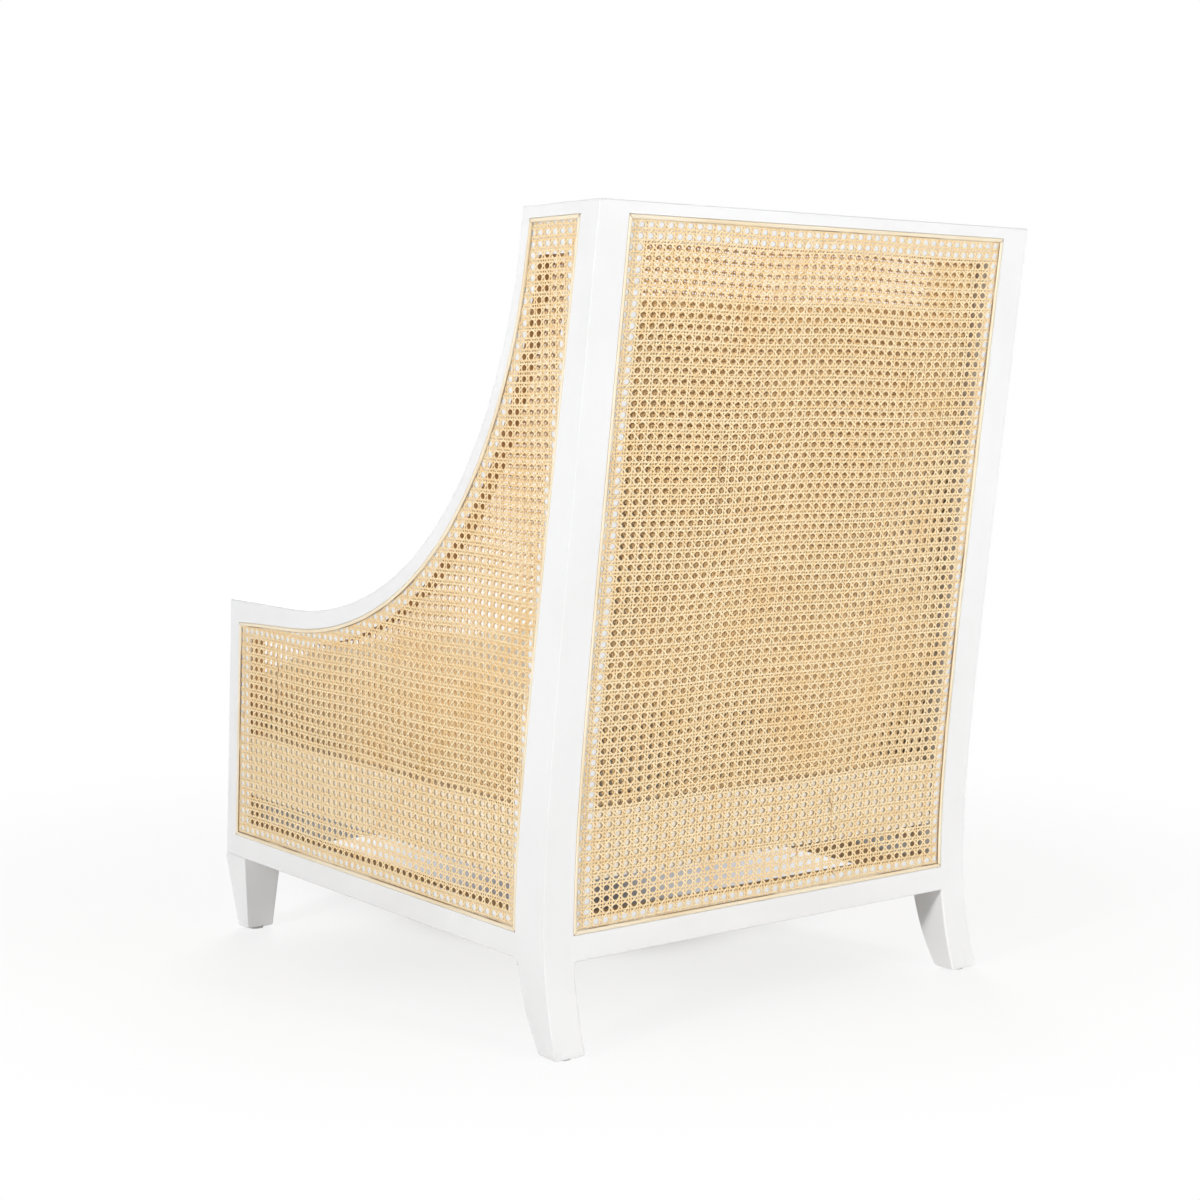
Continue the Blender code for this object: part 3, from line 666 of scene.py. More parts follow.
# stations round a side frame: along the bottom rail from the post, up the front stile, along the arm and
# wing, and back to the post. The bottom edge turns down to the leg through a quarter circle
def sideStations():
    radius = edging["fillet"]
    heights = np.cumsum((chair["railBottom"], sideFrame["bottomFace"], sideFrame["bottomLedge"]))
    turn = np.linspace(0, math.pi / 2, edging["filletSteps"])
    away = np.concatenate([[-edging["into"]], radius * (1 - np.cos(turn))])
    foot = np.stack([postFront(heights)[None, :] - away[:, None], np.tile(heights, (len(away), 1))], -1)
    left = np.clip(radius - away, 0, radius)
    foot[:, 0, 1] -= radius - np.sqrt(radius**2 - left**2)
    crown = np.cumsum((chair["height"], -sideFrame["wingTopFace"], -sideFrame["wingTopLedge"]))
    last = np.stack([postFront(crown) + edging["into"], crown], -1)
    corners = [frontBottomMitre()[None], frontArmMitre()[None], armStations(), wingMitre()[None]]
    return np.concatenate([foot, *corners, last[None]])


# how much longer a mitre's diagonal is than the face it crosses
def mitreStretch(stations):
    slant = np.abs(unit(stations[:, 1] - stations[:, 0])).min(1)
    return np.where(slant > edging["mitreSlant"], edging["mitreStretch"], 1.0)


# ring of a side frame member: a rounded outer edge, then the stepped window edge with its rebates
def sideRing(side, stations):
    outer, inner = chair["halfWidth"], chair["innerFace"]
    radius, ease, support = edging["radius"], edging["ease"], edging["support"]
    bow = edging["bow"] * ease
    turn = np.linspace(0, math.pi / 2, edging["steps"])
    rim = [(0, radius + support, outer)]
    rim += [(0, radius - radius * math.sin(a), outer - radius + radius * math.cos(a)) for a in turn]
    rim += [(0, 0, outer - radius - support), (0, 0, inner + radius + support)]
    rim += [(0, radius - radius * math.cos(a), inner + radius - radius * math.sin(a)) for a in turn]
    rim += [(0, radius + support, inner), (1, -ease - support, inner), (1, -ease, inner)]
    low, high = inner + chair["rebate"], outer - chair["rebate"]
    rim += [(1, -bow, inner + bow), (1, 0, inner + ease), (1, 0, low), (2, 0, low), (2, 0, low + ease)]
    rim += [(2, 0, high - ease), (2, 0, high), (1, 0, high), (1, 0, outer - ease)]
    rim += [(1, -bow, outer - bow), (1, -ease, outer), (1, -ease - support, outer)]
    into = unit(stations[:, 1] - stations[:, 0]) * mitreStretch(stations)[:, None]
    flat = np.stack([stations[:, edge] + inset * into for edge, inset, _ in rim], 1)
    xs = np.broadcast_to(np.array([x for _, _, x in rim]) * side, flat.shape[:2])
    bare = np.array([edge == 2 and low < x < high for edge, _, x in rim], float)
    return np.concatenate([xs[..., None], flat], -1), bare


# the ring carried round all stations, with both ends just under the post's face
def addSideFrame(word, side):
    rings, bare = sideRing(side, sideStations())
    rings[[0, -1], :, 0] -= side * edging["sunk"]
    names = ("arm_rail", "front_post", "bottom_rail", "wing_top_rail")
    return addPainted(word + "SideFrame", rings, side < 0, [word + "_" + n for n in names], bare=bare)


# section (x, y) of an upright with its own radius at each corner, as arcs with a support point at each end
def roundedSection(lowX, highX, lowY, highY, radii):
    signs = np.array(((1, 1), (-1, 1), (-1, -1), (1, -1)))
    corners = [(highX, highY), (lowX, highY), (lowX, lowY), (highX, lowY)]
    ring = []
    for quarter, ((cx, cy), radius) in enumerate(zip(corners, radii)):
        middleX, middleY = cx - signs[quarter, 0] * radius, cy - signs[quarter, 1] * radius
        angles = quarter * math.pi / 2 + np.linspace(0, math.pi / 2, edging["steps"])
        leads = (-edging["support"], *[0] * edging["steps"], edging["support"])
        for a, lead in zip((angles[0], *angles, angles[-1]), leads):
            x = middleX + radius * np.cos(a) - lead * np.sin(a)
            y = middleY + radius * np.sin(a) + lead * np.cos(a)
            ring.append(np.stack(np.broadcast_arrays(x, y), -1))
    return np.stack(ring, -2)


def uprightRings(section, z, side):  # the section at each height, mirrored for the right side
    return np.stack(np.broadcast_arrays(side * section[..., 0], section[..., 1], z[:, None]), -1)


# leg and stile in one: the section at each height lies between two curved faces, eased in at both ends
def addRearPost(word, side):
    footZ = post["foot"] + np.array(post["footRings"])
    topZ = chair["height"] - np.array(post["topRings"])
    spans = [np.linspace(*post[span]) for span in ("legSpan", "kneeSpan", "stileSpan")]
    z = np.concatenate([footZ, *spans, topZ])
    ease = np.interp(z, footZ, post["footEase"]) + np.interp(z, topZ, post["topEase"])
    window = np.where(z < post["legTop"], post["edge"], post["windowEdge"])
    radii = (np.full_like(z, post["corner"]), window, np.full_like(z, post["edge"]), window)
    lowX, highX = chair["halfWidth"] - post["width"] + ease, chair["halfWidth"] - ease
    section = roundedSection(lowX, highX, postFront(z) + ease, backEdge(z) - ease, radii)
    rings = uprightRings(section, z, side)
    return addPainted(word + "RearPost", rings, side < 0, [word + "_rear_post"])


# rails between the posts: the section (y, z) has two rounded edges outside and a stepped window edge
backRails = {
    "back_top_rail": {
        "name": "backTopRail", "edge": chair["height"], "face": 0.014, "ledge": 0.028, "into": -1,
    },
    "back_bottom_rail": {
        "name": "backBottomRail", "edge": chair["railBottom"], "face": 0.0295, "ledge": 0.017, "into": 1,
    },
}


def addBackRail(node, rail):
    edge, into, deep = rail["edge"], rail["into"], chair["backThickness"]
    faceZ = edge + into * rail["face"]
    ledgeZ = faceZ + into * rail["ledge"]
    radius, ease, support, rebate = edging["radius"], edging["ease"], edging["support"], chair["rebate"]
    turn = np.linspace(0, math.pi / 2, edging["steps"])
    rim = [(radius + support, 0)]
    rim += [(radius - radius * math.sin(a), radius - radius * math.cos(a)) for a in turn]
    rim += [(0, radius + support)]
    rear = [(edge + into * inset, depth) for inset, depth in rim]
    front = [(edge + into * inset, deep - depth) for inset, depth in rim[::-1]]
    steps = [(faceZ - into * (ease + support), deep), (faceZ - into * ease, deep), (faceZ, deep - ease)]
    steps += [(faceZ, deep - rebate), (ledgeZ, deep - rebate), (ledgeZ, deep - rebate - ease)]
    steps += [(ledgeZ, rebate + ease), (ledgeZ, rebate), (faceZ, rebate), (faceZ, ease)]
    steps += [(faceZ - into * ease, 0), (faceZ - into * (ease + support), 0)]
    profile = np.array(rear + front + steps)
    half = chair["halfWidth"] - post["width"]
    xs = np.array((-half - edging["into"], -half, half, half + edging["into"]))
    sunk = edging["sunk"] * np.array((1, 0, 0, 1))[:, None]
    y = backEdge(profile[:, 0]) - profile[:, 1] - sunk
    rings = np.stack(np.broadcast_arrays(xs[:, None], y, profile[:, 0]), -1)
    within = (profile[:, 1] > rebate) & (profile[:, 1] < deep - rebate) & (profile[:, 0] == ledgeZ)
    return addPainted(rail["name"], rings, into > 0, [node], bare=within.astype(float))


# ledges on the rear posts that carry the cane's edge: each has a lip that reaches in over the seat rail
backLedge = {"leftLip": 0.0242, "rightLip": 0.0185, "width": 0.015, "lipDepth": 0.0125, "rings": 40}


def addBackLedge(word, side):
    heights = []
    for rail in backRails.values():
        heights.append(rail["edge"] + rail["into"] * (rail["face"] + rail["ledge"] + chair["fit"]))
    z = np.linspace(min(heights), max(heights), backLedge["rings"])
    postSide = chair["halfWidth"] - post["width"]
    edge = postSide - chair["fit"]
    near, far = chair["rebate"], chair["backThickness"] - chair["rebate"]
    lip, face, mid = postSide - backLedge[word + "Lip"], postSide - backLedge["width"], backLedge["lipDepth"]
    section = np.array(((edge, near), (lip, near), (lip, mid), (face, mid), (face, far), (edge, far)))
    y = backEdge(z)[:, None] - section[None, :, 1]
    rings = np.stack(np.broadcast_arrays(side * section[None, :, 0], y, z[:, None]), -1)
    return addPainted(word + "BackLedge", rings, side < 0, [word + "_back_batten"])


# seat rails close behind the outer cane, so that the light through each hole draws a crescent on them
seatRail = {
    "bottom": 0.190,
    "top": 0.270,
    "near": 0.0046,
    "far": 0.0450,
    "endGap": 0.0010,
    "endDepth": 0.0160,
    "rearLedge": 0.017,
    "rings": 9,
}


# a slab that follows the back's curve, set deeper at both ends, behind the ledges' lips
def addBackSeatRail():
    z = np.linspace(seatRail["bottom"], seatRail["top"], seatRail["rings"])
    edge, gap = chair["halfWidth"] - post["width"], seatRail["endGap"]
    end = edge - backLedge["width"] - gap
    low, high = backLedge["rightLip"] + gap - edge, edge - backLedge["leftLip"] - gap
    x = np.array((-end, low, low, high, high, end))
    near = np.full(len(x), seatRail["endDepth"])
    near[2:4] = seatRail["near"]
    back = np.repeat(near[:, None], len(z), 1)
    depth = np.concatenate([back, np.full_like(back, seatRail["far"])], 1)
    height = np.concatenate([z, z[::-1]])
    rings = np.stack(np.broadcast_arrays(x[:, None], backEdge(height) - depth, height), -1)
    faces = ringFaces(*rings.shape[:2])
    return addPiece("backSeatRail", rings, faces, creamPrimer, "white_lacquer", ["back_seat_rail"])


# a slab from the front stile's ledge to the rear post's
def addSideSeatRail(word, side):
    z = np.linspace(seatRail["bottom"], seatRail["top"], seatRail["rings"])
    front = frontEdge(z) + sideFrame["frontFace"] + sideFrame["frontLedge"] + seatRail["endGap"]
    rear = postFront(z) - seatRail["rearLedge"] - seatRail["endGap"]
    y, height = np.concatenate([front, rear[::-1]]), np.concatenate([z, z[::-1]])
    x = side * (chair["halfWidth"] - np.array((seatRail["far"], seatRail["near"])))
    rings = np.stack(np.broadcast_arrays(x[:, None], y, height), -1)
    faces = ringFaces(*rings.shape[:2], turned=side < 0)
    return addPiece(word + "SeatRail", rings, faces, creamPrimer, "white_lacquer", [word + "_seat_rail"])


# tapered block under each front stile, a little proud of it, with chamfered ends
frontLeg = {
    "topWidth": 0.057,
    "topDepth": 0.053,
    "footWidth": 0.038,
    "footDepth": 0.025,
    "outerTaper": 0.011,
    "frontTaper": 0.018,
    "proud": 0.0034,
    "edge": 0.0025,
    "corner": 0.0014,
    "support": 0.001,
    "sharp": 50.0,
}


def addFrontLeg(word, side):
    top, foot, ease = chair["railBottom"] - chair["fit"], post["foot"], frontLeg["edge"]
    bow, hold = edging["bow"] * ease, ease + frontLeg["support"]
    z = np.array((foot, foot + bow, foot + ease, foot + hold, top - hold, top - ease, top))
    inset = np.array((ease, bow, 0, 0, 0, 0, ease))
    up = z / top
    outer = chair["halfWidth"] - frontLeg["outerTaper"] * (1 - up)
    width = frontLeg["footWidth"] + (frontLeg["topWidth"] - frontLeg["footWidth"]) * up
    near = frontEdge(chair["railBottom"]) - frontLeg["proud"] + frontLeg["frontTaper"] * (1 - up)
    depth = frontLeg["footDepth"] + (frontLeg["topDepth"] - frontLeg["footDepth"]) * up
    radii = [np.full_like(z, frontLeg["corner"])] * 4
    section = roundedSection(outer - width + inset, outer - inset, near + inset, near + depth - inset, radii)
    rings = uprightRings(section, z, side)
    return addPainted(word + "FrontLeg", rings, side < 0, [word + "_front_leg"], frontLeg["sharp"])


# board across the front under the cushion, with four rounded edges
apron = {"setback": 0.002, "thickness": 0.022, "top": 0.270, "edge": 0.002}


def addApron():
    radii = [apron["edge"]] * 4
    section = roundedSection(0.0, apron["thickness"], chair["railBottom"], apron["top"], radii)
    y = frontEdge(section[:, 1]) + apron["setback"] + section[:, 0]
    half = chair["innerFace"] - chair["fit"]
    xs = np.array((-half, half))[:, None]
    rings = np.stack(np.broadcast_arrays(xs, y[None, :], section[None, :, 1]), -1)
    return addPainted("frontApron", rings, True, ["front_apron"])


sides = {"left": 1, "right": -1}
for word, side in sides.items():
    addSideFrame(word, side)
    addRearPost(word, side)
    addBackLedge(word, side)
    addSideSeatRail(word, side)
    addFrontLeg(word, side)
for node, rail in backRails.items():
    addBackRail(node, rail)
addBackSeatRail()
addApron()
print("frame pieces made")


# the six sheets of cane: where they start, their pattern's pitch, and where one hole of each is
cane = {
    "backBottom": 0.1318,
    "sideBottom": 0.1310,
    "innerBottom": 0.2703,
    "backPitch": (0.01362, 0.01206),
    "sidePitch": (0.01349, 0.01215),
    "backPoints": 40,  # points along the window's upright edges
    "sidePoints": 48,
}
holes = {
    "backOuter": (0.2742, 0.9157),
    "backInner": (0.2737, 0.9110),
    "leftOuter": (-0.3565, 0.1427),
    "leftInner": (-0.3574, 0.1487),
    "rightOuter": (-0.3548, 0.1440),
    "rightInner": (-0.3557, 0.1500),
}
sheets = {}
for word in ("back", *sides):
    kind = "side" if word in sides else "back"
    for layer, out in (("Outer", 1), ("Inner", -1)):
        sheets[word + layer] = {
            "node": word + "_" + layer.lower(),
            "side": sides.get(word, 0),
            "out": out,
            "bottom": cane[kind + "Bottom"] if out > 0 else cane["innerBottom"],
            "hole": holes[word + layer],
            "pitch": cane[kind + "Pitch"],
        }
backTop = chair["height"] - backRails["back_top_rail"]["face"] - chair["fit"]
backHalf = chair["halfWidth"] - post["width"] - chair["fit"]
wingTop = chair["height"] - sideFrame["wingTopFace"] - chair["fit"]


# a sheet's flat place (s, t) and its height above the frame's face, turned into the chair's x, y, z
def onSheet(sheet, s, t, h):
    if sheet["side"]:
        face = chair["halfWidth"] if sheet["out"] > 0 else chair["innerFace"]
        return np.stack(np.broadcast_arrays(sheet["side"] * (face + sheet["out"] * h), s, t), -1)
    face = backEdge(t) if sheet["out"] > 0 else backEdge(t) - chair["backThickness"]
    return np.stack(np.broadcast_arrays(s, face + sheet["out"] * h, t), -1)


def isMirrored(sheet):  # whether onSheet turns a right-handed (s, t, h) left-handed
    return (sheet["side"] or -1) * sheet["out"] < 0


def windowFront(z):  # y of a side window's front edge
    return frontEdge(z) + sideFrame["frontFace"] + chair["fit"]


def windowRear(z):  # y of a side window's rear edge
    return postFront(z) - chair["fit"]


# lower edge of the arm and wing as points (y, z), from the front stile to the wing's top corner
def windowTop():
    stations = armStations()
    curve = stations[:, 1] + chair["fit"] * unit(stations[:, 2] - stations[:, 1])
    frontZ = arm["height"] - arm["faceFront"] - chair["fit"]
    corner = wingMitre()[1]
    heading = unit(corner - stations[-1, 1])
    edge = corner + chair["fit"] * np.array((heading[1], -heading[0]))
    end = edge + heading * (wingTop - edge[1]) / heading[1]
    return np.concatenate([[(windowFront(frontZ), frontZ)], curve, [end]])


armEdge = windowTop()


# the window's edge as a loop of (s, t), running up its high-s side first
def windowLoop(sheet):
    low = sheet["bottom"]
    if not sheet["side"]:
        t = np.linspace(low, backTop, cane["backPoints"])
        up = np.stack([np.full_like(t, backHalf), t], 1)
        return np.concatenate([up, (up * (-1, 1))[::-1]])
    t = np.linspace(low, wingTop, cane["sidePoints"])
    rear = np.stack([windowRear(t), t], 1)
    return np.concatenate([rear, armEdge[::-1], [(windowFront(low), low)]])


def insideWindow(sheet, s, t):  # distance inside the window's nearest edge, below 0 outside it
    above = t - sheet["bottom"]
    if not sheet["side"]:
        return np.minimum(backHalf - np.abs(s), np.minimum(above, backTop - t))
    under = np.interp(s, armEdge[:, 0], armEdge[:, 1]) - t
    ends = np.minimum(windowRear(t) - s, s - windowFront(t))
    return np.minimum(np.minimum(under, ends), above)


# woven cane: pairs of uprights and rows in plain weave, and two slants that pass over one pair and under
# the other
weave = {
    "uprightWidth": 0.0021,
    "rowWidth": 0.0020,
    "slantWidth": 0.0020,
    "pairGap": 0.0017,
    "thickness": 0.0005,
    "wave": 0.00024,
    "slantWave": 0.00048,
    "sink": 0.0021,
    "stray": 0.00012,
    "widthStray": 0.04,
    "wander": 0.00016,
    "wanderTurn": 23,
    "sway": (0.0010, 0.0022),
    "swayTurns": ((7, 19), (24, 6)),  # radians to a metre of s and of t, in the sway of s and that of t
    "swayStart": 40,
    "slantSteps": 4,
    "unwrapMargin": 0.04,
    "sharp": 60.0,
    "firstSeed": 4100,
}


def holeNumbers(sheet, axis, low, high):  # of the holes from one below low to one above high
    hole, pitch = sheet["hole"][axis], sheet["pitch"][axis]
    return np.arange(math.floor((low[axis] - hole) / pitch) - 1, math.ceil((high[axis] - hole) / pitch) + 1)


# uprights (axis 1) or rows (axis 0) in pairs: places along each strand, and its heights there, which are 0
# where slants cross, then over and under the pair
def pairFamily(chance, sheet, axis, low, high):
    beside = 1 - axis
    widths = weave["rowWidth"], weave["uprightWidth"]
    own, other = ((widths[k] + weave["pairGap"]) / 2 for k in (axis, beside))
    k = holeNumbers(sheet, beside, low, high)
    offsets = sheet["hole"][beside] + (k[:, None] + 0.5) * sheet["pitch"][beside] + np.array((-own, own))
    hand = np.broadcast_to(np.array((-1, 1)), offsets.shape).ravel()
    offsets = offsets.ravel() + chance.normal(0, weave["stray"], hand.size)
    j = holeNumbers(sheet, axis, low, high)
    pitch = sheet["pitch"][axis]
    steps = np.array((0.0, 0.5 * pitch - other, 0.5 * pitch + other))
    along = (sheet["hole"][axis] + j[:, None] * pitch + steps).ravel()
    level = np.tile((0.0, -1.0, 1.0), len(j)) * (1 if axis else -1)
    heights = weave["wave"] * hand[:, None] * level[None, :]
    bend = chance.random((hand.size, 1)) * 2 * math.pi
    lateral = offsets[:, None] + weave["wander"] * np.sin(along[None, :] * weave["wanderTurn"] + bend)
    along = np.broadcast_to(along, lateral.shape)
    return (lateral, along, heights) if axis else (along, lateral, heights)


# slants in steps of a quarter of the pitch: two steps over a pair, then two under the next
def slantFamily(chance, sheet, rising, low, high):
    hole, pitch, quarters = sheet["hole"], sheet["pitch"], weave["slantSteps"]
    columns = holeNumbers(sheet, 0, low, high)
    i = np.arange(quarters * columns[0], quarters * (columns[-1] + 1))
    along = (i + 0.5) / quarters
    level = np.where(np.isin(i % quarters, (1, 2)), 1.0, -1.0) * rising
    reach = ((high - low) / pitch).sum()
    start = (low[1] - hole[1]) / pitch[1]
    k = np.arange(math.floor(start - reach) - 2, math.ceil(start + reach) + 2)
    stray = chance.normal(0, weave["stray"], len(k))
    s = np.broadcast_to(hole[0] + along * pitch[0], (len(k), len(i)))
    t = hole[1] + (rising * along[None, :] + k[:, None] + 0.5) * pitch[1] + stray[:, None]
    return s, t, np.broadcast_to(weave["slantWave"] * level, s.shape)


# a slow sway of the whole sheet, in two sine waves of its flat place, more of it on the inner sheets
def swayed(sheet, s, t):
    size = weave["sway"][sheet["out"] < 0]
    start = weave["swayStart"] * sheet["hole"][1] + sheet["side"]
    (alongS, alongT), (acrossS, acrossT) = weave["swayTurns"]
    swayS = np.sin(s * alongS + t * alongT + start)
    swayT = np.sin(s * acrossS + t * acrossT + 2 * start)
    return s + size * swayS, t + size * swayT


# quads along the three sides of each kept step and a triangle at both ends, with their unwrapped places
def strandFaces(keep):
    count, steps = keep.shape
    first = (np.arange(count)[:, None] * (steps + 1) + np.arange(steps)) * 3
    runs = first[keep]
    row, along = np.nonzero(keep)
    near, far = weave["unwrapMargin"], 1 - weave["unwrapMargin"]
    faces, unwrap = [], []
    for part, (a, b) in enumerate(((0, 1), (1, 2), (2, 0))):
        faces.append(np.stack([runs + a, runs + b, runs + 3 + b, runs + 3 + a], -1))
        u = np.stack([along, along, along + 1, along + 1], -1) / steps
        v = (row[:, None] + (part + np.array((near, far, far, near))) / 3) / count
        unwrap.append(np.stack([u, v], -1))
    ahead = np.pad(keep, ((0, 0), (1, 1)))
    starts, stops = keep & ~ahead[:, :-2], keep & ~ahead[:, 2:]
    for mask, order, step in ((starts, (0, 2, 1), 0), (stops, (3, 4, 5), 1)):
        faces.append(np.stack([first[mask] + k for k in order], -1))
        row, along = np.nonzero(mask)
        place = np.stack([(along + step) / steps, (row + 0.5) / count], -1)
        unwrap.append(np.stack([place] * 3, 1))
    return faces, unwrap


# three-sided strands, flat below and crowned above, cut off at the window's edge
def strands(sheet, chance, s, t, heights, width, family):
    s, t = swayed(sheet, s, t)
    inside = insideWindow(sheet, s, t)
    keep = (inside[:, :-1] > 0) | (inside[:, 1:] > 0)
    shown = keep.any(1)
    s, t, heights, inside, keep = (a[shown] for a in (s, t, heights, inside, keep))
    direction = unit(np.array((s[0, -1] - s[0, 0], t[0, -1] - t[0, 0])))
    places = np.stack([s, t], -1)
    here, there = inside[:, :-1], inside[:, 1:]
    share = here / np.where(here == there, 1, here - there)
    edge = places[:, :-1] + share[..., None] * (places[:, 1:] - places[:, :-1])
    cut = places.copy()
    leaving, entering = (here > 0) & (there <= 0), (here <= 0) & (there > 0)
    cut[:, 1:][leaving] = edge[leaving]
    cut[:, :-1][entering] = edge[entering]
    count = len(s)
    half = width / 2 * (1 + chance.normal(0, weave["widthStray"], (count, 1)))
    side = np.array((direction[1], -direction[0]))
    lift = weave["thickness"] / 2
    ring = []
    for across, rise in ((-1, -lift), (0, lift), (1, -lift)):
        flat = cut + (across * half)[..., None] * side
        ring.append(onSheet(sheet, flat[..., 0], flat[..., 1], heights + rise - weave["sink"]))
    points = np.stack(ring, 2)
    seed = family + chance.random((count, 1, 1))
    parts = (wayAlong(cut)[..., None], seed, np.array((-1.0, 0.0, 1.0)))
    marks = np.stack(np.broadcast_arrays(*parts), -1)
    faces, unwrap = strandFaces(keep)
    if isMirrored(sheet):
        faces, unwrap = [f[:, ::-1] for f in faces], [u[:, ::-1] for u in unwrap]
    return points, faces, marks, unwrap


# four families of strands, each a piece, over the box round the sheet's window
def addSheet(name, sheet, number):
    chance = np.random.default_rng(weave["firstSeed"] + number)
    loop = windowLoop(sheet)
    low, high = loop.min(0), loop.max(0)
    families = {}
    for word, axis, kind in (("Uprights", 1, "upright"), ("Rows", 0, "row")):
        family = pairFamily(chance, sheet, axis, low, high)
        families[word] = (*family, weave[kind + "Width"], seeds[kind])
    for word, rising in (("RisingSlants", 1), ("FallingSlants", -1)):
        family = slantFamily(chance, sheet, rising, low, high)
        families[word] = (*family, weave["slantWidth"], seeds["slant"])
    total = 0
    nodes = [sheet["node"] + "_cane"]
    for word, family in families.items():
        points, faces, marks, unwrap = strands(sheet, chance, *family)
        marks[..., 1] += seeds["inner"] * (sheet["out"] < 0)
        looks = (splitCane, "natural_cane", nodes, weave["sharp"])
        addPiece(name + word, points, faces, *looks, {"strand": marks}, unwrap)
        total += sum(len(f) * (f.shape[1] - 2) for f in faces)
    print(name, "cane woven,", total, "triangles")


# reed round a window's edge: a half-round profile with a low bead on its inner side, mitred at
# corners
splineProfile = np.array((
    (0.0001, -0.0012), (0.0001, -0.0004), (0.0005, 0.0001), (0.0012, 0.0004), (0.0021, 0.0005),
    (0.0030, 0.0004), (0.0037, 0.0001), (0.0041, -0.0004), (0.0043, -0.0010), (0.0053, -0.0012),
    (0.0053, -0.0016),
))
splineLoop = {
    "step": 0.015,
    "longRun": 0.05,
    "nearEnds": (0.0008, 0.0018),
    "cornerTurn": 0.8,  # a corner is where the cosine of the turn is below this
    "sharp": 50.0,
}


# the loop with more points along its straight runs, and two close to the ends of each
def finerLoop(loop):
    runs = []
    for start, end in zip(loop, np.roll(loop, -1, 0)):
        length = np.linalg.norm(end - start)
        share = np.linspace(0, 1, max(1, round(length / splineLoop["step"])) + 1)[:-1]
        if length > splineLoop["longRun"]:
            near = np.array(splineLoop["nearEnds"]) / length
            share = np.sort(np.concatenate([share, near, 1 - near]))
        runs.append(start + share[:, None] * (end - start))
    return np.concatenate(runs)


def addSpline(name, sheet):
    loop = finerLoop(windowLoop(sheet))
    step = unit(np.roll(loop, -1, 0) - loop)
    ahead = np.stack([-step[:, 1], step[:, 0]], 1)
    behind = np.roll(ahead, 1, 0)
    straight = (ahead * behind).sum(1)
    inward = (ahead + behind) / (1 + straight)[:, None]
    flat = loop[:, None, :] + splineProfile[None, :, :1] * inward[:, None, :]
    points = onSheet(sheet, flat[..., 0], flat[..., 1], splineProfile[None, :, 1])
    way = wayAlong(loop)
    corners = way[straight < splineLoop["cornerTurn"]]
    apart = np.abs(way[:, None] - corners[None, :]).min(1)
    across = np.linspace(-1, 1, len(splineProfile))
    marks = np.stack(np.broadcast_arrays(way[:, None], apart[:, None], across[None, :]), -1)
    faces = ringFaces(*points.shape[:2], shut=True, turned=not isMirrored(sheet))
    looks = (reedSpline, "reed_spline", [sheet["node"] + "_spline"], splineLoop["sharp"])
    addPiece(name + "Spline", points, faces, *looks, {"strand": marks})


# cushions: the solid is drawn in, puffed up as cloth, then brought back to the room that the solid holds
cushions = {
    "seat_cushion": {
        "name": "seatCushion",
        "lean": 0.0,
        "drawIn": 0.014,
        "voxel": 0.006,
        "cap": 0.026,
        "fill": 0.75,
        "seams": (0.006, 0.094),
        "settle": 0.0,
    },
    "back_cushion": {
        "name": "backCushion",
        "lean": math.pi / 2 - math.atan(post["rake"]),
        "drawIn": 0.012,
        "voxel": 0.006,
        "cap": 0.024,
        "fill": 0.65,
        "seams": (0.012, 0.088),
        "settle": 0.011,
    },
}
puffing = {
    "pressure": 4.0,
    "frames": 20,
    "mass": 0.25,
    "tension": 12.0,
    "bending": 0.4,
    "sideways": 0.12,
    "rise": (0.1875, 0.8125),  # shares of the thickness between which the puffing sets in
    "hem": 0.013,
    "hemReach": 0.014,
    "full": 0.010,
    "floor": 0.004,  # what lies lower than this is pressed flat
    "pressed": 0.25,
    "floorDrop": 0.003,
}
piping = {
    "radius": 0.0032,
    "sides": 10,
    "points": 360,
    "smoothing": 15,
    "sunk": 0.4,
    "groove": 0.0035,
    "spread": 0.007,
    "pucker": 0.0009,
    "puckerSpread": 0.028,
    "rim": (0.86, 0.96),  # the pull sets in between these shares of the half width
    "rippleTurns": (170, 150),
    "rippleShares": (0.6, 0.4),
    "rippleSlow": 0.43,
    "rippleStart": 1.7,
    "sharp": 80.0,
}


def turned(points, lean):  # into the cushion's own frame, whose third axis goes through its thickness
    c, s = math.cos(lean), math.sin(lean)
    x, y, z = points.T
    return np.stack([x, c * y + s * z, c * z - s * y], 1)


def meshPoints(mesh):
    points = np.empty(len(mesh.vertices) * 3, np.float32)
    mesh.vertices.foreach_get("co", points)
    return points.reshape(-1, 3).astype(float)


def drawnIn(node, settings):  # the solid with every side moved towards its middle by drawIn
    work = bmesh.new()
    work.from_mesh(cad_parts[node].data)
    bmesh.ops.remove_doubles(work, verts=work.verts, dist=1e-5)
    mesh = bpy.data.meshes.new(settings["name"])
    work.to_mesh(mesh)
    work.free()
    points = meshPoints(mesh)
    middle = (points.min(0) + points.max(0)) / 2
    reach = (points.max(0) - points.min(0)) / 2
    points = middle + (points - middle) * (1 - settings["drawIn"] / reach)
    mesh.vertices.foreach_set("co", points.astype(np.float32).ravel())
    return mesh


